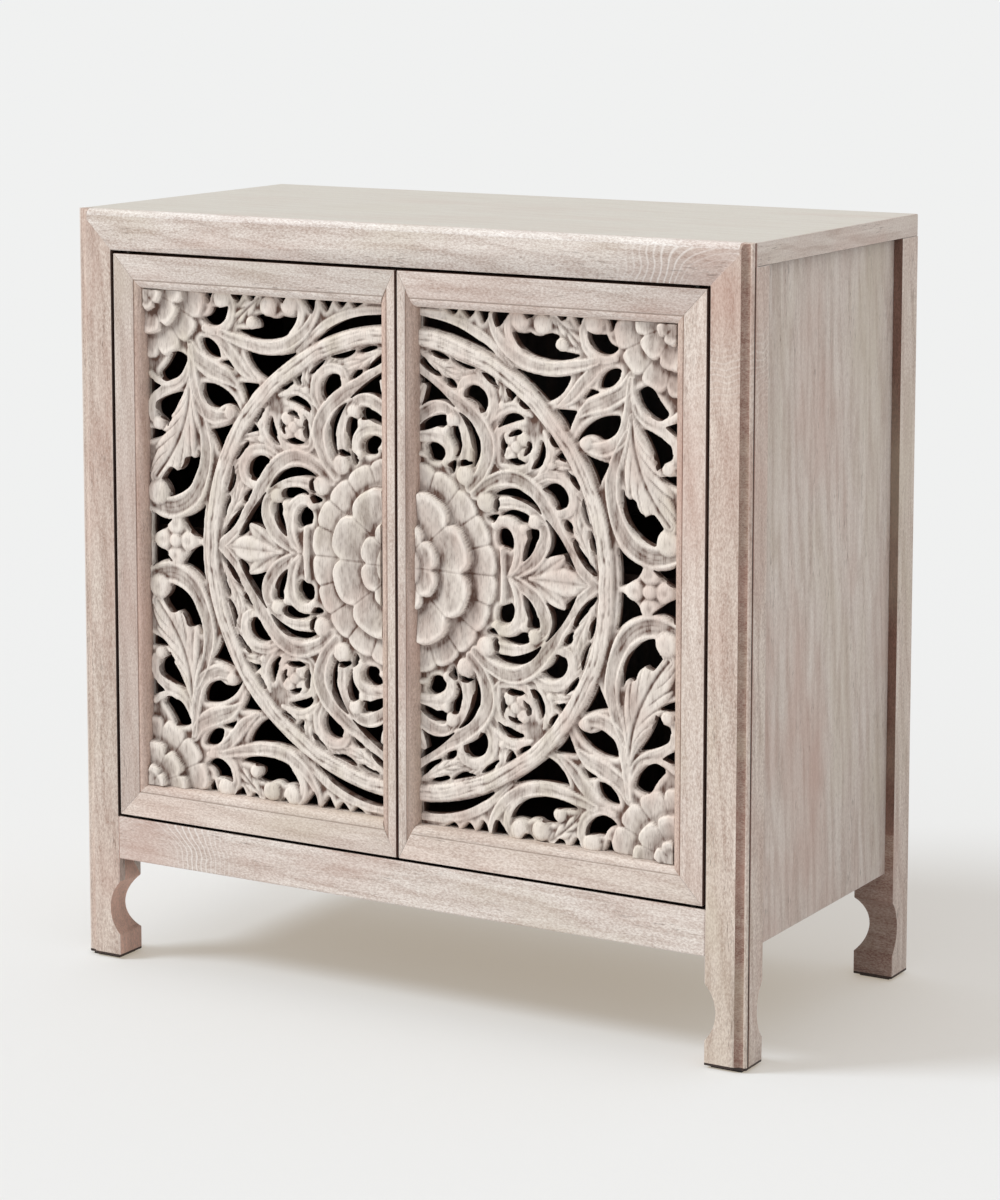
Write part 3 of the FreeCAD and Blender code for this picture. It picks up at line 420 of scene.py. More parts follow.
def grain(tree, along, across_size, along_size):
    """Coordinates on a piece, scaled to marks of one size across the grain and another along it."""
    place = add(tree, "ShaderNodeTexCoord", out="Object")
    piece = add(tree, "ShaderNodeObjectInfo", out="Random")
    moved = add(tree, "ShaderNodeVectorMath", {0: place, 1: piece}, operation="ADD")
    scale = [1 / across_size] * 3
    scale["xyz".index(along)] = 1 / along_size
    return add(tree, "ShaderNodeMapping", {"Vector": moved, "Scale": scale})


def whitewashed_mango(name, along, paint, wood, share, roughcast, knot):
    """Limed mango wood, brushed so that paint fills the pores and the wood shows in between.

    It gives the eye a fine grit, cloudy streaks along the grain, pinkish and olive patches,
    clusters of dark flecks, and no gloss. The share is how much of the wood shows, roughcast how
    strong the grit is, and the knot a place that the growth rings bend round.
    """
    finish = bpy.context.scene.cabinet_finishes
    sizes = bpy.context.scene.cabinet_sizes
    pore, figure_width = sizes.pore_width, sizes.figure_width
    # Marks of each kind, across the grain and along it
    cluster_size = 20 * MILLIMETRE, 110 * MILLIMETRE
    streak_size = 11 * MILLIMETRE, 160 * MILLIMETRE
    patch_size = 100 * MILLIMETRE, 240 * MILLIMETRE

    material, tree, skin = new_material(name)
    grit = add(tree, "ShaderNodeTexNoise", {
        "Vector": grain(tree, along, pore, 2.2 * pore), "Scale": 1, "Detail": 2, "Roughness": 0.7})
    pores = add(tree, "ShaderNodeTexNoise", {
        "Vector": grain(tree, along, 0.9 * pore, 9 * pore), "Scale": 1, "Detail": 2})
    clusters = add(tree, "ShaderNodeTexNoise", {
        "Vector": grain(tree, along, *cluster_size), "Scale": 1, "Detail": 3})
    streaks = add(tree, "ShaderNodeTexNoise", {
        "Vector": grain(tree, along, *streak_size), "Scale": 1, "Detail": 4, "Roughness": 0.62,
        "Distortion": 0.6})
    rings = add(tree, "ShaderNodeTexWave", {
        "Vector": grain(tree, along, 8 * figure_width, 60 * figure_width), "Scale": 2.5,
        "Distortion": 9, "Detail": 3, "Detail Scale": 1.3, "Detail Roughness": 0.6},
        out="Fac", bands_direction="DIAGONAL")
    patches = add(tree, "ShaderNodeTexNoise", {
        "Vector": grain(tree, along, *patch_size), "Scale": 1, "Detail": 3})

    speckle = add(tree, "ShaderNodeMapRange", {0: grit, 1: 0.36, 2: 0.66, 3: 0, 4: roughcast})
    cloudy = add(tree, "ShaderNodeMapRange", {0: streaks, 1: 0.36, 2: 0.70, 3: 0, 4: 0.55 * share})
    figure = add(tree, "ShaderNodeMapRange", {0: rings, 1: 0.45, 2: 0.95, 3: 0, 4: 0.30 * share})
    bare = add(tree, "ShaderNodeMath", {0: speckle, 1: cloudy}, operation="ADD")
    bare = add(tree, "ShaderNodeMath", {0: bare, 1: figure}, operation="ADD", use_clamp=True)
    olive = add(tree, "ShaderNodeMapRange", {0: patches, 1: 0.47, 2: 0.28, 3: 0, 4: 0.7 * share})
    warm = add(tree, "ShaderNodeMapRange", {0: patches, 1: 0.50, 2: 0.74, 3: 0, 4: 0.8 * share})
    layers = [(bare, wood), (olive, finish.olive_tint), (warm, finish.warm_tint)]
    if knot:
        # Pale rings round a reddish heart, in thinner paint, that fade out 80 to 150 mm away
        ring_spacing = 0.55 * figure_width
        strength = 0.55 if along == "x" else 0.2
        place = add(tree, "ShaderNodeTexCoord", out="Object")
        away = add(tree, "ShaderNodeVectorMath", {0: place, 1: knot}, out="Value",
                   operation="DISTANCE")
        bent = add(tree, "ShaderNodeMath", {0: patches, 1: 70 * MILLIMETRE, 2: away},
                   operation="MULTIPLY_ADD")
        turned = add(tree, "ShaderNodeMath", {0: bent, 1: math.tau / ring_spacing},
                     operation="MULTIPLY")
        ring = add(tree, "ShaderNodeMath", {0: turned}, operation="SINE")
        fading = add(tree, "ShaderNodeMapRange", {
            0: away, 1: 150 * MILLIMETRE, 2: 80 * MILLIMETRE, 3: 0, 4: strength})
        fading = add(tree, "ShaderNodeMapRange", {
            0: away, 1: 30 * MILLIMETRE, 2: 70 * MILLIMETRE, 3: 0, 4: fading})
        thin = add(tree, "ShaderNodeMath", {0: fading, 1: 0.4}, operation="MULTIPLY")
        lines = add(tree, "ShaderNodeMapRange", {0: ring, 1: 0.4, 2: 1, 3: 0, 4: fading})
        heart = add(tree, "ShaderNodeMapRange", {
            0: bent, 1: 110 * MILLIMETRE, 2: 50 * MILLIMETRE, 3: 0, 4: 0.45})
        layers += [(thin, wood), (lines, finish.chalk_and_highlight), (heart, finish.warm_tint)]
    fleck = add(tree, "ShaderNodeMapRange", {0: pores, 1: 0.58, 2: 0.70})
    cluster = add(tree, "ShaderNodeMapRange", {
        0: clusters, 1: 0.50, 2: 0.66, 3: 0.06, 4: 1.2 * share})
    dark = add(tree, "ShaderNodeMath", {0: fleck, 1: cluster}, operation="MULTIPLY", use_clamp=True)
    layers.append((dark, finish.fleck))
    shade = opaque(paint)
    for amount, tint in layers:
        shade = add(tree, "ShaderNodeMix", {0: amount, 6: shade, 7: opaque(tint)}, out=2,
                    data_type="RGBA")
    tree.links.new(shade, skin.inputs["Base Color"])
    bump = add(tree, "ShaderNodeBump", {
        "Height": grit, "Strength": 0.45, "Distance": 0.6 * MILLIMETRE})
    tree.links.new(bump, skin.inputs["Normal"])
    rough = add(tree, "ShaderNodeMapRange", {0: grit, 1: 0.3, 2: 0.7, 3: 0.75, 4: 0.6})
    tree.links.new(rough, skin.inputs["Roughness"])
    skin.inputs["Specular IOR Level"].default_value = 0.3
    return material


def carved_mango():
    """Carved mango wood, limed, then wiped with a thin brown wash.

    It gives the eye chalky raised forms in faintly pink and olive patches, brown in the grooves
    and down the walls of the openings. The brown is partly a real wash and partly painted shade.
    """
    finish = bpy.context.scene.cabinet_finishes
    pore = bpy.context.scene.cabinet_sizes.pore_width
    # Where the wash is rubbed and broken, and where reddish heartwood or greenish sapwood shows
    rub_size = 14 * MILLIMETRE, 40 * MILLIMETRE
    tint_size = 45 * MILLIMETRE, 90 * MILLIMETRE

    material, tree, skin = new_material("carved_limed_mango")
    # The wash attribute holds the brown wash and the painted shade of hollows and walls
    wash = add(tree, "ShaderNodeAttribute", out="Fac", attribute_name="wash")
    pores = add(tree, "ShaderNodeTexNoise", {
        "Vector": grain(tree, "z", pore, 6 * pore), "Scale": 1, "Detail": 3, "Roughness": 0.6})
    patches = add(tree, "ShaderNodeTexNoise", {
        "Vector": grain(tree, "z", *rub_size), "Scale": 1, "Detail": 3, "Roughness": 0.6})
    tints = add(tree, "ShaderNodeTexNoise", {
        "Vector": grain(tree, "z", *tint_size), "Scale": 1, "Detail": 3})
    broken = add(tree, "ShaderNodeMapRange", {0: patches, 1: 0.3, 2: 0.7, 3: 0.6, 4: 1.3})
    held = add(tree, "ShaderNodeMath", {0: wash, 1: broken}, operation="MULTIPLY")
    streak = add(tree, "ShaderNodeMapRange", {0: pores, 1: 0.50, 2: 0.70, 3: 0, 4: 0.24})
    rubbed = add(tree, "ShaderNodeMapRange", {0: patches, 1: 0.46, 2: 0.70, 3: 0, 4: 0.16})
    held = add(tree, "ShaderNodeMath", {0: held, 1: streak}, operation="ADD")
    held = add(tree, "ShaderNodeMath", {0: held, 1: rubbed}, operation="ADD", use_clamp=True)
    olive = add(tree, "ShaderNodeMapRange", {0: tints, 1: 0.47, 2: 0.30, 3: 0, 4: 0.40})
    warm = add(tree, "ShaderNodeMapRange", {0: tints, 1: 0.50, 2: 0.70, 3: 0, 4: 0.34})
    shade = opaque(finish.carving_face)
    for amount, tint in ((olive, finish.olive_tint), (warm, finish.warm_tint),
                         (held, finish.carving_wash_and_shade)):
        shade = add(tree, "ShaderNodeMix", {0: amount, 6: shade, 7: opaque(tint)}, out=2,
                    data_type="RGBA")
    tree.links.new(shade, skin.inputs["Base Color"])
    bump = add(tree, "ShaderNodeBump", {
        "Height": pores, "Strength": 0.35, "Distance": 0.6 * MILLIMETRE})
    tree.links.new(bump, skin.inputs["Normal"])
    skin.inputs["Roughness"].default_value = 0.7
    skin.inputs["Specular IOR Level"].default_value = 0.3
    return material


def stained_mango(name, along):
    """Mango wood under a dark water stain.

    It gives the eye dull brown boards with paler streaks along the grain.
    """
    finish = bpy.context.scene.cabinet_finishes
    streak_size = 8 * MILLIMETRE, 250 * MILLIMETRE
    pore_size = 1.4 * MILLIMETRE, 20 * MILLIMETRE

    material, tree, skin = new_material(name)
    streaks = add(tree, "ShaderNodeTexNoise", {
        "Vector": grain(tree, along, *streak_size), "Scale": 1, "Detail": 4, "Roughness": 0.6})
    pores = add(tree, "ShaderNodeTexNoise", {
        "Vector": grain(tree, along, *pore_size), "Scale": 1, "Detail": 2})
    paler = add(tree, "ShaderNodeMapRange", {0: streaks, 1: 0.4, 2: 0.75})
    shade = add(tree, "ShaderNodeMix", {
        0: paler, 6: opaque(finish.stain), 7: opaque(finish.stain_streak)}, out=2, data_type="RGBA")
    tree.links.new(shade, skin.inputs["Base Color"])
    bump = add(tree, "ShaderNodeBump", {
        "Height": pores, "Strength": 0.3, "Distance": 0.4 * MILLIMETRE})
    tree.links.new(bump, skin.inputs["Normal"])
    rough = add(tree, "ShaderNodeMapRange", {0: pores, 1: 0.3, 2: 0.7, 3: 0.5, 4: 0.68})
    tree.links.new(rough, skin.inputs["Roughness"])
    return material


def joint(edge):
    """Whether an edge lies in a mitre, where two boards meet flush and nothing wears it."""
    slant, least_area = 0.02, 2e-4
    return any(abs(abs(face.normal.x) - abs(face.normal.z)) < slant
               and abs(face.normal.y) < slant and face.calc_area() > least_area
               for face in edge.link_faces)


def eased_board(node, materials, ease, finish=None, cuts=()):
    """A copy of a board with its long edges worn round, in place of the square one.

    The finish gives a face's place in the materials, after the first two for faces and worn
    edges. The cuts are the axes and places at which the finish changes.
    """
    weld, cut_weld = 1e-6, 1e-5
    shortest, crease, sharp = 12 * ease, math.radians(30), math.radians(24)
    mesh = NODES[node].data.copy()
    work = bmesh.new()
    work.from_mesh(mesh)
    bmesh.ops.remove_doubles(work, verts=work.verts, dist=weld)
    bmesh.ops.dissolve_limit(work, angle_limit=math.radians(0.5), verts=work.verts,
                             edges=work.edges)
    for face in work.faces:
        face.material_index = 0
    worn = [edge for edge in work.edges
            if len(edge.link_faces) == 2 and edge.calc_length() > shortest
            and edge.calc_face_angle() > crease and not joint(edge)
            and min(face.calc_area() for face in edge.link_faces) > 1.2 * ease * edge.calc_length()]
    bmesh.ops.bevel(work, geom=worn, offset=ease, segments=2, profile=0.5, affect="EDGES",
                    clamp_overlap=True, material=1)
    bmesh.ops.dissolve_degenerate(work, dist=weld, edges=work.edges)
    for axis, place in cuts:
        along = Vector([float(way == axis) for way in "xyz"])
        bmesh.ops.bisect_plane(work, geom=[*work.verts, *work.edges, *work.faces], dist=cut_weld,
                               plane_co=place * along, plane_no=along)
    if finish:
        for face in work.faces:
            face.material_index = finish(face.calc_center_median(), face.normal,
                                         face.material_index)
    bmesh.ops.triangulate(work, faces=[face for face in work.faces if len(face.verts) > 4])
    mesh.materials.clear()
    for material in materials:
        mesh.materials.append(material)
    work.to_mesh(mesh)
    work.free()
    mesh.polygons.foreach_set("use_smooth", [True] * len(mesh.polygons))
    mesh.set_sharp_from_angle(angle=sharp)
    piece = bpy.data.objects.new(f"eased_{node}", mesh)
    bpy.context.scene.collection.objects.link(piece)
    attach(piece, NODES[node]["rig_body"])
    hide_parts(node)


def limed(along, paint="whitewash", board=""):
    """Whitewashed wood with its grain along an axis, under one of the paints.

    A board with a knot has a wood of its own.
    """
    name = f"limed_mango_{paint}_{along}"
    if board in KNOTS:
        name = f"{name}_{board}"
    if name in bpy.data.materials:
        return bpy.data.materials[name]
    finish = bpy.context.scene.cabinet_finishes
    share, roughcast = WOOD_AND_GRIT.get(paint, WOOD_AND_GRIT["whitewash"])
    wood = {"thin_wash": finish.missed_wash,
            "missed_wash": finish.stain_streak}.get(paint, finish.bare_wood)
    return whitewashed_mango(name, along, getattr(finish, paint), wood, share, roughcast,
                             KNOTS.get(board))


def stained(along):
    """Dark stained wood with its grain along an axis."""
    name = f"stained_mango_{along}"
    if name in bpy.data.materials:
        return bpy.data.materials[name]
    return stained_mango(name, along)


def frame_finishes(along, paint="whitewash", board="", edge="worn_edge", pink="moulding_wash_and_shade"):
    """Finishes of a board in the order of FACE, WORN, DARK, THIN, MISSED and PINK.

    The thin paint shows the marks that the cutter left across the moulding.
    """
    across = "x" if along == "z" else "z"
    return [limed(along, paint, board), limed(along, edge), stained(along),
            limed(across, "thin_wash"), limed(along, "missed_wash"), limed(along, pink)]


class CABINET_OT_case(bpy.types.Operator):
    """Dress the posts, rails, top and panels of the case"""
    bl_idname = "cabinet.case"
    bl_label = "Case boards"

    def execute(self, context):
        arris = context.scene.cabinet_sizes.arris
        corner_low, corner_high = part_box("front_left_post")
        rail_low, rail_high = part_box("front_top_rail")
        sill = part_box("bottom_board")[1].z
        lintel = rail_low.z
        jamb = abs(corner_high.x) + 2 * MILLIMETRE
        # The bottom of each leg is stained dark, partly as a painted shadow line at the floor
        foot = corner_low.z + 3 * MILLIMETRE
        ridge = rail_high.z - context.scene.cabinet_sizes.ridge
        lining = sum(corner.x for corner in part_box("right_side_panel")) / 2
        back_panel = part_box("back_panel")[0].y + MILLIMETRE
        # The moulded corner in millimetres from its front and its side: the bead, the cove inside
        # it, and the quirk behind the bead, whose dark stain in front is painted shade
        bead_wide, bead_deep = 3.5, 7.5
        cove_wide, cove_deep = 13, 4.5
        quirk_wide, quirk_from, quirk_dark, quirk_to = 1.7, 7.4, 9.2, 11.5
        leg_cut = sill - 40 * MILLIMETRE

        def front_post(place, normal, index):
            inward = (abs(corner_low.x) - abs(place.x)) / MILLIMETRE
            behind = (place.y - corner_low.y) / MILLIMETRE
            # Painted shadow line at the floor
            if place.z < foot:
                return DARK
            # Both coves are the mottled brown of the thin paint, but the left post's takes the face
            # paint, a painted highlight where light from the left falls on it
            if bead_wide < inward < cove_wide and 0.1 < behind < cove_deep:
                return THIN if place.x > 0 else FACE
            if 0.1 < inward < bead_wide and behind < bead_deep:
                return FACE if place.x > 0 else WORN
            # Painted shade: the quirk is stained dark in front, and reddish behind
            if inward < quirk_wide and quirk_from < behind < quirk_to:
                return DARK if behind < quirk_dark else MISSED
            inner = normal.x * place.x < 0.2 * abs(place.x)
            if place.z < leg_cut and abs(normal.y) < 0.5 and inner:
                return PINK
            if normal.y > 0.9 and abs(place.x) > lining and place.z > sill:
                return MISSED
            # The reveals and the back are stained dark like the inside; in the door gaps the stain
            # is also painted shade that keeps them black
            reveal = abs(place.x) < jamb or normal.y > 0.9
            return DARK if reveal and sill < place.z < lintel else index

        def back_post(place, normal, index):
            # Painted shadow line at the floor
            if place.z < foot:
                return DARK
            forward = normal.y < -0.2
            if abs(place.x) < (lining if forward else jamb) and sill < place.z < lintel:
                return DARK
            if forward:
                return MISSED if place.z > sill else THIN
            return index

        def back_rail(place, normal, index):
            return DARK if place.y < back_panel else index

        def side(place, normal, index):
            return DARK if normal.x * place.x < -0.5 * abs(place.x) else index

        def lintel_or_sill(place, normal, index):
            # Thick pale paint on the rounded top edge, partly a painted highlight where light from
            # above falls on it
            if place.z > ridge:
                return WORN
            if index == WORN:
                return FACE
            # Level faces by the door opening are stained dark, in the gaps also as painted shade
            level = abs(normal.z) > 0.9 and place.z < lintel + 10 * MILLIMETRE
            return DARK if normal.y > 0.9 or level else index

        def top(place, normal, index):
            return TOP_END if abs(normal.x) > 0.9 else TOP_UNDER if normal.z < -0.9 else index

        cuts = (("x", -lining), ("x", lining), ("z", foot), ("z", sill), ("z", lintel))
        quirk = "y", corner_low.y + quirk_to * MILLIMETRE
        for end in ("left", "right"):
            node = f"front_{end}_post"
            eased_board(node, frame_finishes("z", board=node, pink="leg_wash"), arris,
                        front_post, (*cuts, quirk))
            eased_board(f"back_{end}_post", frame_finishes("z"), arris, back_post, cuts)
            eased_board(f"{end}_side_panel", frame_finishes("z", "side_wash"), arris, side)
        top_finishes = [limed("x", "top_wash"), limed("x", "worn_edge"), limed("y", "side_wash"),
                        stained("x")]
        eased_board("top_board", top_finishes, arris, top)
        for node in ("front_top_rail", "front_bottom_rail"):
            eased_board(node, frame_finishes("x", "rail_wash", node, "chalk_and_highlight"), arris,
                        lintel_or_sill)
        for node in ("back_top_rail", "back_bottom_rail"):
            eased_board(node, frame_finishes("x"), arris, back_rail)
        return {"FINISHED"}


class CABINET_OT_inside(bpy.types.Operator):
    """Dress the stained boards inside the case"""
    bl_idname = "cabinet.inside"
    bl_label = "Inside boards"

    def execute(self, context):
        arris = context.scene.cabinet_sizes.arris
        eased_board("back_panel", [stained("z")] * 2, arris)
        for node in ("shelf", "bottom_board", "door_stop"):
            eased_board(node, [stained("x")] * 2, arris)
        for side in ("left", "right"):
            for level in ("bottom", "shelf"):
                eased_board(f"{side}_{level}_cleat", [stained("y")] * 2, arris)
        return {"FINISHED"}


class CABINET_OT_door_frames(bpy.types.Operator):
    """Dress the moulded frames of the doors"""
    bl_idname = "cabinet.door_frames"
    bl_label = "Door frames"

    def execute(self, context):
        arris = context.scene.cabinet_sizes.door_arris
        moulding = context.scene.cabinet_sizes.door_moulding
        low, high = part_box("right_door_hanging_stile")
        meeting_low, meeting_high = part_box("right_door_meeting_stile")

        def stile(place, normal, index):
            across = abs(place.x)
            if abs(normal.x) > 0.9 and not meeting_low.x + arris < across < high.x - arris:
                return MISSED
            # The stiles' mouldings take the pinker paint, which partly paints the shade that light
            # from the left leaves on them
            if meeting_high.x - moulding < across < low.x + moulding and normal.y < 0.5:
                return PINK
            return index

        def rail(place, normal, index):
            outer = not low.z + arris < place.z < high.z - arris
            return MISSED if abs(normal.z) > 0.9 and outer else index

        for side in ("left", "right"):
            for part, along, paint, finish in (("hanging_stile", "z", "door_wash", stile),
                                               ("meeting_stile", "z", "door_wash", stile),
                                               ("top_rail", "x", "rail_wash", rail),
                                               ("bottom_rail", "x", "door_wash", rail)):
                eased_board(f"{side}_door_{part}", frame_finishes(along, paint), arris,
                            finish)
            for place in NODES[f"{side}_door_panel_beads"].material_slots:
                place.material = stained("z")
        return {"FINISHED"}


def chain_points(chain):
    """Points round a chain of gouge cuts, each cut an arc through its middle point."""
    spacing, straight = 0.012, 0.004
    points = []
    for index in range(0, len(chain), 2):
        start, through, end = [np.array(chain[place % len(chain)])
                               for place in (index, index + 1, index + 2)]
        across, up = through - start, end - start
        double_area = 2 * (across[0] * up[1] - across[1] * up[0])
        if abs(double_area) < straight * (up @ up):
            steps = np.linspace(0, 1, 4)[:-1, None]
            points.extend(start + steps * up)
            continue
        middle = np.array([up[1] * (across @ across) - across[1] * (up @ up),
                           across[0] * (up @ up) - up[0] * (across @ across)]) / double_area
        radius = math.hypot(*middle)
        first, half, last = [math.atan2(*(spot - start - middle)[::-1])
                             for spot in (start, through, end)]
        turn = (last - first) % math.tau
        if (half - first) % math.tau > turn:
            turn -= math.tau
        count = max(3, int(abs(turn) * radius / spacing))
        angles = first + turn * np.arange(count) / count
        points.extend(start + middle + radius * np.column_stack([np.cos(angles), np.sin(angles)]))
    return np.array(points)


def flowing(line, count=14):
    """A smooth curve through the points of a line."""
    knots = np.array([2 * np.array(line[0]) - line[1], *line, 2 * np.array(line[-1]) - line[-2]])
    share = np.linspace(0, 1, count, endpoint=False)[:, None]
    points = []
    for a, b, c, d in zip(knots, knots[1:], knots[2:], knots[3:]):
        bend = 2 * a - 5 * b + 4 * c - d + share * (3 * (b - c) + d - a)
        points.extend(b + 0.5 * share * (c - a + share * bend))
    return np.array([*points, knots[-2]])


def within(points, outline, margin):
    """Which points lie in the box round an outline, widened by a margin."""
    low, high = outline.min(0) - margin, outline.max(0) + margin
    return np.flatnonzero(((points > low) & (points < high)).all(1))


def to_line(points, line):
    """Distance from each point to a line, the share of its length at the nearest spot, and side."""
    start, run = line[:-1], np.diff(line, axis=0)
    size = np.hypot(*run.T)
    far = points[:, None] - start
    share = np.clip((far * run).sum(2) / np.maximum(size ** 2, 1e-12), 0, 1)
    gap = far - share[..., None] * run
    distance = np.hypot(gap[..., 0], gap[..., 1])
    best = distance.argmin(1)
    rows = np.arange(len(points))
    reach = np.concatenate([[0], np.cumsum(size)])
    travel = (reach[best] + share[rows, best] * size[best]) / reach[-1]
    side = np.sign(run[best, 0] * far[rows, best, 1] - run[best, 1] * far[rows, best, 0])
    return distance[rows, best], travel, side


def to_opening(points, outline):
    """Distance to an opening's edge, below zero inside it."""
    closed = np.concatenate([outline, outline[:1]])
    distance, _, _ = to_line(points, closed)
    start, end = closed[:-1], closed[1:]
    level = points[:, None, 1]
    crossed = (start[:, 1] > level) != (end[:, 1] > level)
    rise = np.where(end[:, 1] == start[:, 1], 1, end[:, 1] - start[:, 1])
    where = start[:, 0] + (level - start[:, 1]) / rise * (end[:, 0] - start[:, 0])
    inside = ((points[:, None, 0] < where) & crossed).sum(1) % 2 == 1
    return np.where(inside, -distance, distance)


def smooth(low, high, value):
    """From 0 at the low value to 1 at the high one, without a kink."""
    share = np.clip((value - low) / (high - low), 0, 1)
    return share * share * (3 - 2 * share)


def fibres(along, across):
    """Torn fibres along a stroke, from 0 to 1, at places in millimetres."""
    wander = 1.4 * np.sin(0.09 * along) + 0.9 * np.sin(0.23 * along + across)
    strength = 0.7 + 0.5 * np.sin(0.05 * along + 0.8 * across)
    return np.clip(np.sin(1.15 * across + wander) * strength, 0, 1)


def beside_stroke(place, stroke, widened=1):
    """Points near a stroke, with distance, share of its length, side, half width and its length."""
    line = flowing(stroke.line)
    near = within(place, line, widened * max(stroke.half))
    distance, travel, side = to_line(place[near], line)
    half = widened * np.interp(travel, np.linspace(0, 1, len(stroke.half)), stroke.half)
    return near, distance, travel, side, half, MODULE * np.hypot(*np.diff(line, axis=0).T).sum()


def lay_over(near, share, level, brown, height, wash):
    """Gives a form its height and wash where it stands over what is there."""
    on = (share < 1) & (level > height[near])
    height[near[on]] = level[on]
    wash[near[on]] = brown[on]


def carve_leaves(place, leaves, height, wash):
    """Leaves with a row of lobes on each side, and veins from the stem between them."""
    vein_width, rib_width = 2.8, 1.5
    for leaf in leaves:
        near, distance, travel, _, half, _ = beside_stroke(place, leaf)
        share = distance / half
        lobe = np.abs(((travel - leaf.fan * share) * leaf.veins) % 1 - 0.5) * 2
        share = share / (1 - 0.28 * lobe ** 3)
        cut = np.exp(-((1 - lobe) * half * MODULE / vein_width) ** 2) * smooth(0.2, 0.55, share)
        rib = leaf.rib * np.exp(-(distance * MODULE / rib_width) ** 2)
        level = leaf.rise * np.clip(1 - share ** 4, 0, 1) ** 0.5 * (0.75 + 0.25 * share)
        level = LIFT * (level - cut - 1.2 * rib)
        lay_over(near, share, level, 0.05 + 0.3 * np.maximum(cut, rib), height, wash)


def carve_flowers(place, flowers, height, wash):
    """Small flowers with cupped petals."""
    for across, up, petal_place, petal, rise, count, turn in flowers:
        for index in range(count):
            angle = math.radians(turn + index * 360 / count)
            middle = (across + petal_place * math.cos(angle), up + petal_place * math.sin(angle))
            share = np.hypot(*(place - middle).T) / petal
            on = share < 1
            cup = 0.9 * np.exp(-(share[on] / 0.4) ** 2)
            level = LIFT * rise * np.sqrt(1 - 0.9 * share[on] ** 4) - cup
            height[on] = np.maximum(height[on], level)
            wash[on] = 0.06


def carve_balls(place, balls, height, wash):
    """Balls at the ends of the curls."""
    for across, up, radius, rise in balls:
        share = np.hypot(*(place - (across, up)).T) / radius
        on = share < 1
        level = BALL_LIFT * rise * np.sqrt(1 - 0.75 * share[on] ** 3)
        height[on] = np.maximum(height[on], level)
        wash[on] = 0.10


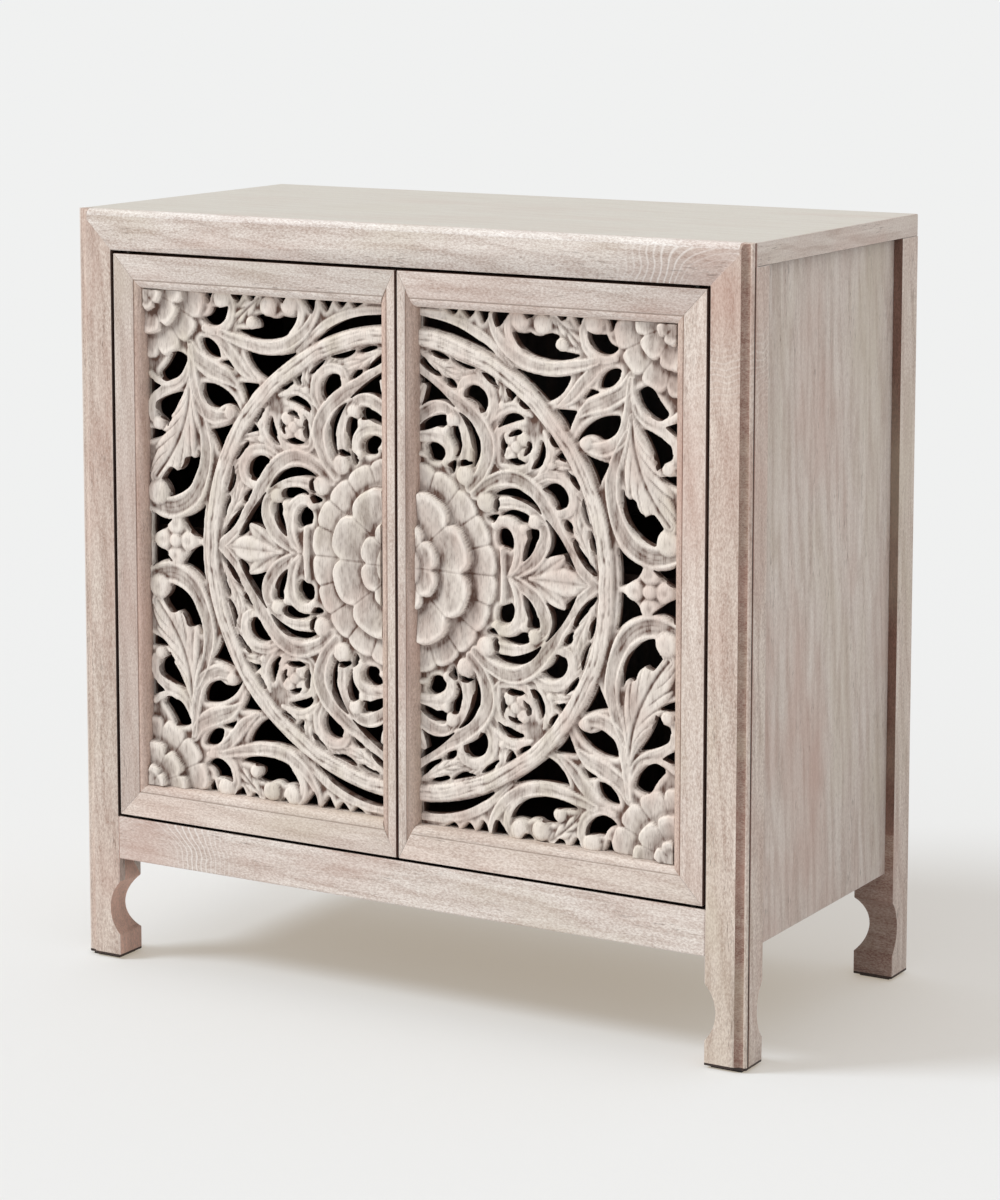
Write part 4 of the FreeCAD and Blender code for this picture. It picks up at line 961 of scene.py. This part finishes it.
class Carving:
    """The relief of one door, in millimetres over the plate, at points given in modules.

    The lean sets how the hand-cut lines of this door stray. Beside its height, each spot has a
    share of brown wash from 0 to 1, which partly stands for painted shade.
    """

    def __init__(self, edge_round, lean):
        self.edge_round = edge_round / MILLIMETRE
        self.lean = lean
        self.medallion = [chain_points(chain) for chain in MEDALLION_OPENINGS]
        self.corner = [chain_points(chain) for chain in CORNER_OPENINGS]

    def folded(self, points):
        """Points as drawn: with a hand's drift, in the upper half, and in the medallion's wedge."""
        across, up = points.T
        drift = DRIFT * np.column_stack([np.sin(2.3 * across + 4.1 * up + self.lean),
                                         np.sin(3.7 * across - 2.2 * up + 2 * self.lean)])
        moved = points + drift
        upper = np.column_stack([moved[:, 0], np.abs(moved[:, 1])])
        wedge = np.column_stack([upper.max(1), upper.min(1)])
        return upper, wedge

    def clearance(self, points):
        """Distance to the nearest opening in millimetres, below zero inside one."""
        upper, wedge = self.folded(points)
        least = np.full(len(points), FAR)
        for place, outlines in ((wedge, self.medallion), (upper, self.corner)):
            for outline in outlines:
                near = within(place, outline, NEAR)
                if len(near):
                    least[near] = np.minimum(least[near], to_opening(place[near], outline))
        return least * MODULE - WORN_BACK

    def petals(self, place, middle, rounds, crown, blunt, height, wash, sense=1):
        """Overlapping rounds of petals about a middle, each with a steep wall down to the next.

        The crown is how far a petal bulges, and a blunt one has a squarer tip.
        """
        slope, groove_depth, wall_run, painted_shadow_run, heart = 0.4, 0.4, 2.4, 1.8, 0.12
        across, up = (place - middle).T
        radius = np.hypot(across, up)
        angle = np.degrees(np.arctan2(np.abs(up), sense * across))
        for tip, notch, pitch, turn, outer, inner in rounds:
            beside = 2 * np.abs(((angle - turn) / pitch) % 1 - 0.5)
            edge = tip - notch * beside ** blunt
            inside = (edge - radius) * MODULE
            level = outer + (inner - outer) * np.clip((edge - radius) / (slope * tip), 0, 1)
            level = level + crown * (1 - beside ** 2)
            groove = (1 - beside) / 2 * np.radians(pitch) * radius * MODULE
            cut = np.exp(-groove ** 2) * (radius > heart)
            level = level - (groove_depth + crown) * cut
            wall = 1 - smooth(0, wall_run, inside)
            on = inside > 0
            height[on] = (level + wall * (height - level))[on]
            # Brown wash and painted shade stay in the grooves, painted shade darkens each
            # petal toward the heart and on its wall, and a painted shadow lies round the wall's
            # foot
            brown = 0.06 + 0.30 * cut + 0.16 * smooth(0, slope * tip * MODULE, inside)
            wash[on] = np.maximum(brown, 0.25 * wall)[on]
            # Painted shadow on the round below, round the foot of the wall
            under = np.exp(-np.clip(-inside, 0, None) / painted_shadow_run) * (inside <= 0)
            wash[:] = np.maximum(wash, 0.20 * under)

    def bands(self, place, bands, height, wash):
        """Ribbons, raised at both edges, with a hollow between them and torn fibres along them."""
        for band in bands:
            near, distance, travel, side, half, long = beside_stroke(place, band, RIBBON)
            share = distance / half
            hollow = 1 - smooth(0.42, 0.8, share)
            streak = fibres(travel * long, MODULE * side * distance + self.lean)
            level = band.rise * np.clip(1 - share ** 6, 0, 1) ** 0.5
            level = LIFT * (level - 1.05 * band.hollow * hollow) - 0.3 * streak
            brown = 0.02 + 0.20 * streak + 0.14 * band.hollow * hollow
            lay_over(near, share, level, brown, height, wash)

    def relief(self, points, clear):
        """Height over the plate in millimetres, and the spot's brown wash and painted shade.

        Both are means over four places round each point, so that steep sides run smoothly
        between the points.
        """
        apart = 0.375 / MODULE
        shifts = -apart, apart
        places = [self.carved(points + (across, up), clear) for across in shifts for up in shifts]
        return np.mean(places, 0)

    def carved(self, points, clear):
        """Height and wash at single points."""
        upper, wedge = self.folded(points)
        # The plate rounds over at the openings and dips further in
        edge = np.clip(clear / self.edge_round, 0, 1)
        height = 4.4 * np.sqrt(1 - (1 - edge) ** 2) - 2.6 - 0.7 * smooth(4, 10, clear)
        wash = 0.12 + 0.25 * smooth(4, 9, clear)
        for place, bands, leaves, flowers, balls in (
                (wedge, MEDALLION_BANDS, MEDALLION_LEAVES, MEDALLION_FLOWERS, MEDALLION_BALLS),
                (upper, CORNER_BANDS, CORNER_LEAVES, CORNER_FLOWERS, CORNER_BALLS)):
            self.bands(place, bands, height, wash)
            carve_leaves(place, leaves, height, wash)
            carve_flowers(place, flowers, height, wash)
            carve_balls(place, balls, height, wash)
        share = (np.hypot(*upper.T) - RING_MIDDLE) / RING_HALF
        on = np.abs(share) < 1
        share = share[on]
        streak = fibres(MODULE * RING_MIDDLE * np.arctan2(*upper[on].T),
                        MODULE * RING_HALF * share + self.lean)
        height[on] = RING_RISE * np.clip(1 - share ** 8, 0, 1) ** 0.5 - 0.7 * streak
        wash[on] = 0.06 + 0.40 * streak
        self.petals(upper, (0, 0), ROSETTE_ROUNDS, 0.4, 3.5, height, wash)
        corner = MODULES_ACROSS, MODULES_UP
        self.petals(upper, corner, CORNER_ROUNDS, 0.3, 6, height, wash, sense=-1)
        share = np.hypot(*upper.T) / BUTTON_RADIUS
        on = share < 1
        height[on] = BUTTON_FOOT + BUTTON_RISE * np.sqrt(1 - share[on] ** 2)
        # No form stands sharp at an opening, and the whole face has a gouge's ripple
        height = np.minimum(height, 4.2 + 2.6 * np.clip(clear, 0, None))
        height = height - 0.4 * (1 - smooth(0, 0.9, clear))
        across, up = points.T * MODULE
        wave = np.sin(0.55 * across + 1.3 * np.sin(0.21 * up)) * np.sin(0.47 * up + self.lean)
        return height + RIPPLE * wave, np.clip(wash, 0, 1)


def softened(values, reach):
    """Each value's mean with its neighbours, taken twice along both ways of the grid."""
    for axis in (0, 1, 0, 1):
        margins = [(reach + 1, reach) if way == axis else (0, 0) for way in (0, 1)]
        run = np.cumsum(np.pad(values, margins, mode="edge"), axis)
        span = 2 * reach + 1
        values = (np.take(run, range(span, run.shape[axis]), axis)
                  - np.take(run, range(run.shape[axis] - span), axis)) / span
    return values


def evened(height):
    """A relief with the jagged points of its steep walls drawn toward their neighbours."""
    wide = np.pad(height, 1, mode="edge")
    across = (wide[:-2] + 2 * wide[1:-1] + wide[2:]) / 4
    mean = (across[:, :-2] + 2 * across[:, 1:-1] + across[:, 2:]) / 4
    return height + smooth(0.25, 0.9, np.abs(mean - height)) * (mean - height)


def grid_lines(low, high, step, tongue, play):
    """Grid lines across the sight, with the plain tongue beyond it on both sides."""
    slip = 0.04 * MILLIMETRE
    inside = np.linspace(low + play, high - play, int((high - low) / step) + 1)
    return np.concatenate([[low - tongue, low + play - slip], inside,
                           [high - play + slip, high + tongue]])


def left_of_fences(flats, fences):
    """The triangles that lie to the left of the fences, found by spreading out from them."""
    owner = {(a, b): number for number, flat in enumerate(flats)
             for a, b in zip(flat, flat[1:] + flat[:1])}
    barred = set(fences)
    found = {owner[fence] for fence in fences if fence in owner}
    waiting = sorted(found)
    while waiting:
        flat = flats[waiting.pop()]
        for a, b in zip(flat, flat[1:] + flat[:1]):
            other = owner.get((b, a))
            if (a, b) not in barred and other is not None and other not in found:
                found.add(other)
                waiting.append(other)
    return [flats[number] for number in sorted(found)]


def pierced_mesh(name, columns, rows, carving, shape):
    """A relief over a grid, cut along the edges of the openings.

    It has walls down to a flat back, which takes the second of two finishes. The shape is the
    face, the back, the middle, and the size of a module each way.
    """
    face, back, middle, module_x, module_z = shape
    wide, tall = len(columns), len(rows)
    grid_x, grid_z = [values.ravel() for values in np.meshgrid(columns, rows, indexing="ij")]
    edge_x = np.isin(np.arange(wide), (0, 1, wide - 2, wide - 1))
    edge_z = np.isin(np.arange(tall), (0, 1, tall - 2, tall - 1))
    border = (edge_x[:, None] | edge_z[None, :]).ravel()
    modules = np.column_stack([np.abs(grid_x) / module_x, (grid_z - middle) / module_z])
    clear = np.where(border, FAR * MODULE, carving.clearance(modules))
    # No edge runs so near a corner of the grid that it leaves a sliver
    least = 0.12 * (columns[3] - columns[2]) / MILLIMETRE
    clear = np.where(np.abs(clear) < least, np.where(clear < 0, -least, least), clear)
    solid = clear > 0

    # Corners of the grid that are wood, then the places where a grid line crosses an opening's edge
    index = np.full(wide * tall, -1)
    index[solid] = np.arange(solid.sum())
    corners = np.column_stack([grid_x, grid_z])
    spots = [corners[solid]]
    numbers = np.arange(wide * tall).reshape(wide, tall)
    crossings = []
    count = solid.sum()
    for first, second in ((numbers[:-1], numbers[1:]), (numbers[:, :-1], numbers[:, 1:])):
        a, b = first.ravel(), second.ravel()
        mixed = solid[a] != solid[b]
        where = np.full(len(a), -1)
        where[mixed] = count + np.arange(mixed.sum())
        count += mixed.sum()
        a, b = a[mixed], b[mixed]
        share = (clear[a] / (clear[a] - clear[b]))[:, None]
        spots.append(corners[a] + share * (corners[b] - corners[a]))
        crossings.append(where.reshape(first.shape))
    spots = np.concatenate(spots)

    # Whole cells are quads, and cut cells go round their corners and crossings
    low_left, low_right = numbers[:-1, :-1], numbers[1:, :-1]
    high_right, high_left = numbers[1:, 1:], numbers[:-1, 1:]
    cells = np.stack([low_left, low_right, high_right, high_left], -1).reshape(-1, 4)
    level, upright = crossings
    sides = np.stack([level[:, :-1], upright[1:], level[:, 1:], upright[:-1]], -1).reshape(-1, 4)
    whole = solid[cells].all(1)
    pierced = ~whole & solid[cells].any(1)
    faces = index[cells[whole]].tolist()
    walls = []
    for around, cuts in zip(cells[pierced], sides[pierced]):
        ring = []
        leaving = []
        for place in range(4):
            if solid[around[place]]:
                ring.append(int(index[around[place]]))
            if cuts[place] >= 0:
                if solid[around[place]]:
                    leaving.append(len(ring))
                ring.append(int(cuts[place]))
        faces.append(ring)
        for place in leaving:
            walls.append((ring[place], ring[(place + 1) % len(ring)]))
    outer = [*numbers[:, 0], *numbers[-1, 1:], *numbers[-2::-1, -1], *numbers[0, -2:0:-1]]
    outer = [int(index[number]) for number in outer]
    walls.extend(zip(outer, outer[1:] + outer[:1]))

    # The wash stays in hollows that lie below their surroundings, and is rubbed off above them.
    # This paints shade into the hollows and a painted highlight along the ridges.
    height, wash = carving.relief(modules, clear)
    height = evened(height.reshape(wide, tall))
    hollow = (softened(height, 3) - height).ravel()
    height = height.ravel()
    wash = np.clip(wash + WASH_ALL_OVER + SHADE_AND_WASH_IN_HOLLOWS * np.clip(hollow, -0.7, 0.9), 0, 1)
    cut = spots[solid.sum():]
    edges = np.column_stack([np.abs(cut[:, 0]) / module_x, (cut[:, 1] - middle) / module_z])
    edge_height, edge_wash = carving.relief(edges, np.zeros(len(edges)))
    height = np.concatenate([np.where(border, 0, height)[solid], edge_height])
    wash = np.concatenate([np.where(border, WASH_ON_TONGUE, wash)[solid], edge_wash])
    front = np.column_stack([spots[:, 0], face - height * MILLIMETRE, spots[:, 1]])

    # Walls down to the back, and the back itself between the same edges
    rim = sorted({spot for wall in walls for spot in wall})
    below = {spot: count + place for place, spot in enumerate(rim)}
    under = np.column_stack([spots[rim, 0], np.full(len(rim), back), spots[rim, 1]])
    carved_corners = sum(len(flat) for flat in faces)
    faces.extend([b, a, below[a], below[b]] for a, b in walls)
    carved_faces = len(faces)
    fences = [(below[a] - count, below[b] - count) for a, b in walls]
    rim_spots = [Vector(spots[spot]) for spot in rim]
    _, _, flats, origin, _, _ = geometry.delaunay_2d_cdt(rim_spots, fences, [], 1, 1e-9)
    flats = [[origin[spot][0] for spot in flat] for flat in flats]
    for flat in left_of_fences(flats, fences):
        faces.append([count + spot for spot in reversed(flat)])

    mesh = bpy.data.meshes.new(name)
    mesh.from_pydata(np.concatenate([front, under]).tolist(), [], faces)
    # The wash covers the walls from their edges down and is fullest at the back, as painted
    # shade, while the edges in front are rubbed pale
    held = np.concatenate([wash, np.ones(len(rim))])[np.concatenate(faces)]
    wall_corners = held[carved_corners:carved_corners + 4 * len(walls)].reshape(-1, 4)
    wall_corners[:, :2] = SHADE_AND_WASH_ON_WALLS
    attribute = mesh.attributes.new("wash", "FLOAT", "CORNER")
    attribute.data.foreach_set("value", held.astype(np.float32))
    finishes = [int(place >= carved_faces) for place in range(len(faces))]
    mesh.polygons.foreach_set("material_index", finishes)
    mesh.polygons.foreach_set("use_smooth", [True] * len(mesh.polygons))
    mesh.set_sharp_from_angle(angle=math.radians(48))
    return mesh


class CABINET_OT_carved_panels(bpy.types.Operator):
    """Carve the pierced panels of the doors"""
    bl_idname = "cabinet.carved_panels"
    bl_label = "Carved panels"

    def execute(self, context):
        sizes = context.scene.cabinet_sizes
        step = sizes.carving_step * 1
        # The beads lie in the rebate behind the plate, and the sight is what the frame leaves open
        rebate, plate, play = 8 * MILLIMETRE, 8 * MILLIMETRE, 0.3 * MILLIMETRE
        tongue = rebate - 0.5 * MILLIMETRE
        finishes = carved_mango(), stained("z")
        for side, lean in (("left", 0.4), ("right", 2.1)):
            node = f"{side}_door_carved_panel"
            low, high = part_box(node)
            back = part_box(f"{side}_door_panel_beads")[0].y
            near, far = sorted((abs(low.x), abs(high.x)))
            sight = sorted(math.copysign(edge, low.x) for edge in (near + tongue, far - tongue))
            columns = grid_lines(*sight, step, tongue, play)
            rows = grid_lines(low.z + tongue, high.z - tongue, step, tongue, play)
            middle = (low.z + high.z) / 2
            shape = (back - plate, back, middle, (far - tongue) / MODULES_ACROSS,
                     (high.z - tongue - middle) / MODULES_UP)
            carving = Carving(sizes.edge_round, lean)
            mesh = pierced_mesh(f"{side}_carving", columns, rows, carving, shape)
            for finish in finishes:
                mesh.materials.append(finish)
            piece = bpy.data.objects.new(f"{side}_carved_panel", mesh)
            context.scene.collection.objects.link(piece)
            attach(piece, f"{side}_door")
            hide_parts(node)
        return {"FINISHED"}


class CABINET_OT_fittings(bpy.types.Operator):
    """Give the pivots, catches and foot pads their finishes"""
    bl_idname = "cabinet.fittings"
    bl_label = "Fittings"

    def execute(self, context):
        # Turned brass: fine rings from the tool under a dull yellow shine
        brass, tree, skin = new_material("turned_brass")
        ring_size = 4 * MILLIMETRE, 0.6 * MILLIMETRE
        rings = add(tree, "ShaderNodeTexNoise", {
            "Vector": grain(tree, "z", *ring_size), "Scale": 1})
        rough = add(tree, "ShaderNodeMapRange", {0: rings, 1: 0.3, 2: 0.7, 3: 0.28, 4: 0.42})
        tree.links.new(rough, skin.inputs["Roughness"])
        skin.inputs["Base Color"].default_value = opaque(linear("#B89A5C"))
        skin.inputs["Metallic"].default_value = 1
        # Steel blackened in oil: nearly black, slightly mottled, half dull
        steel, tree, skin = new_material("oil_blackened_steel")
        spot_size = 2 * MILLIMETRE, 2 * MILLIMETRE
        mottle = add(tree, "ShaderNodeTexNoise", {
            "Vector": grain(tree, "z", *spot_size), "Scale": 1})
        rough = add(tree, "ShaderNodeMapRange", {0: mottle, 1: 0.3, 2: 0.7, 3: 0.45, 4: 0.6})
        tree.links.new(rough, skin.inputs["Roughness"])
        skin.inputs["Base Color"].default_value = opaque(linear("#55514D"))
        skin.inputs["Metallic"].default_value = 1
        # Moulded nylon: dull black with a fine spark-eroded grain
        nylon, tree, skin = new_material("moulded_black_nylon")
        grit_size = 0.8 * MILLIMETRE, 0.8 * MILLIMETRE
        spark = add(tree, "ShaderNodeTexNoise", {
            "Vector": grain(tree, "z", *grit_size), "Scale": 1})
        bump = add(tree, "ShaderNodeBump", {
            "Height": spark, "Strength": 0.2, "Distance": 0.2 * MILLIMETRE})
        tree.links.new(bump, skin.inputs["Normal"])
        skin.inputs["Base Color"].default_value = opaque(linear("#232221"))
        skin.inputs["Roughness"].default_value = 0.55
        finishes = {"pivot_pins": steel, "foot_pads": nylon, "magnetic_catches": nylon}
        for side in ("left", "right"):
            finishes[f"{side}_door_pivot_bushes"] = brass
            finishes[f"{side}_door_strike_plate"] = steel
        for node, material in finishes.items():
            for place in NODES[node].material_slots:
                place.material = material
        return {"FINISHED"}


class CABINET_OT_stage(bpy.types.Operator):
    """Set the floor, the lamps and the camera"""
    bl_idname = "cabinet.stage"
    bl_label = "Stage"

    def execute(self, context):
        scene = context.scene
        stage = scene.cabinet_stage
        scene.view_settings.view_transform = "Standard"

        # Studio paper: even, dull and nearly white.
        # A glow seen only by camera, gloss and glass rays lifts and warms the floor's shadows as
        # painted light, and doesn't fall on the cabinet.
        paper, tree, skin = new_material("white_studio_paper")
        skin.inputs["Base Color"].default_value = opaque(scene.cabinet_finishes.floor)
        skin.inputs["Specular IOR Level"].default_value = 0
        dimmer = add(tree, "ShaderNodeBsdfDiffuse", {"Color": opaque(linear("#B7C1CB"))})
        painted_shadow_glow = add(tree, "ShaderNodeEmission", {"Color": opaque(linear("#A39786")), "Strength": 1})
        seen = add(tree, "ShaderNodeAddShader", {0: dimmer, 1: painted_shadow_glow})
        shown = 0
        for ray in ("Is Camera Ray", "Is Glossy Ray", "Is Transmission Ray"):
            path = add(tree, "ShaderNodeLightPath", out=ray)
            shown = add(tree, "ShaderNodeMath", {0: path, 1: shown}, operation="MAXIMUM")
        both = add(tree, "ShaderNodeMixShader", {0: shown, 1: skin.outputs[0], 2: seen})
        tree.links.new(both, tree.nodes["Material Output"].inputs["Surface"])
        mesh = bpy.data.meshes.new("studio_floor")
        reach = 400
        corners = [(-reach, -reach, 0), (reach, -reach, 0), (reach, reach, 0), (-reach, reach, 0)]
        mesh.from_pydata(corners, [], [(0, 1, 2, 3)])
        mesh.materials.append(paper)
        floor = bpy.data.objects.new("studio_floor", mesh)
        scene.collection.objects.link(floor)

        world = bpy.data.worlds.new("even_room_light")
        world.use_nodes = True
        ground = world.node_tree.nodes["Background"]
        ground.inputs["Color"].default_value = opaque(linear("#FEFEFF"))
        ground.inputs["Strength"].default_value = stage.sky
        scene.world = world

        lamp = bpy.data.lights.new("soft_key", "SUN")
        lamp.energy = stage.key_strength
        lamp.angle = stage.key_softness
        lamp.color = linear("#FFFEFC")
        key = bpy.data.objects.new("soft_key", lamp)
        key.location = (-2.2, -1.5, 2.4)
        key.rotation_mode = "QUATERNION"
        key.rotation_quaternion = (-key.location).to_track_quat("-Z", "Y")
        scene.collection.objects.link(key)

        # The frame's size in pixels, and the pixel at which the camera's axis meets it
        wide, tall = 1000, 1200
        axis_x, axis_y = 490, 375
        data = bpy.data.cameras.new("camera")
        data.sensor_width = 36
        data.lens = stage.lens
        data.shift_x = (wide / 2 - axis_x) / tall
        data.shift_y = (axis_y - tall / 2) / tall
        camera = bpy.data.objects.new("camera", data)
        camera.location = (2.1088, -3.5868, 1.2729)
        camera.rotation_mode = "QUATERNION"
        level = math.cos(stage.elevation)
        toward = Vector((-math.sin(stage.azimuth) * level, math.cos(stage.azimuth) * level,
                         -math.sin(stage.elevation)))
        camera.rotation_quaternion = toward.to_track_quat("-Z", "Y")
        scene.collection.objects.link(camera)
        scene.camera = camera
        return {"FINISHED"}


STEPS = (CABINET_OT_case, CABINET_OT_inside, CABINET_OT_door_frames, CABINET_OT_carved_panels,
         CABINET_OT_fittings, CABINET_OT_stage)


class CABINET_PT_steps(bpy.types.Panel):
    """Steps that dress the cabinet, and the values that they use"""
    bl_idname = "CABINET_PT_steps"
    bl_label = "Carved cabinet"
    bl_space_type = "VIEW_3D"
    bl_region_type = "UI"
    bl_category = "Cabinet"

    def draw(self, context):
        scene = context.scene
        for group in (scene.cabinet_finishes, scene.cabinet_sizes, scene.cabinet_stage):
            column = self.layout.column()
            for name in group.bl_rna.properties.keys():
                if name not in ("rna_type", "name"):
                    column.prop(group, name)
        for step in STEPS:
            self.layout.operator(step.bl_idname)


CLASSES = (CabinetFinishes, CabinetSizes, CabinetStage, *STEPS, CABINET_PT_steps)


def register():
    for made in CLASSES:
        bpy.utils.register_class(made)
    bpy.types.Scene.cabinet_finishes = bpy.props.PointerProperty(type=CabinetFinishes)
    bpy.types.Scene.cabinet_sizes = bpy.props.PointerProperty(type=CabinetSizes)
    bpy.types.Scene.cabinet_stage = bpy.props.PointerProperty(type=CabinetStage)


def unregister():
    del bpy.types.Scene.cabinet_stage
    del bpy.types.Scene.cabinet_sizes
    del bpy.types.Scene.cabinet_finishes
    for made in reversed(CLASSES):
        bpy.utils.unregister_class(made)


def main():
    register()
    bpy.ops.cabinet.case()
    bpy.ops.cabinet.inside()
    bpy.ops.cabinet.door_frames()
    bpy.ops.cabinet.carved_panels()
    bpy.ops.cabinet.fittings()
    bpy.ops.cabinet.stage()


if __name__ == "__main__":
    main()
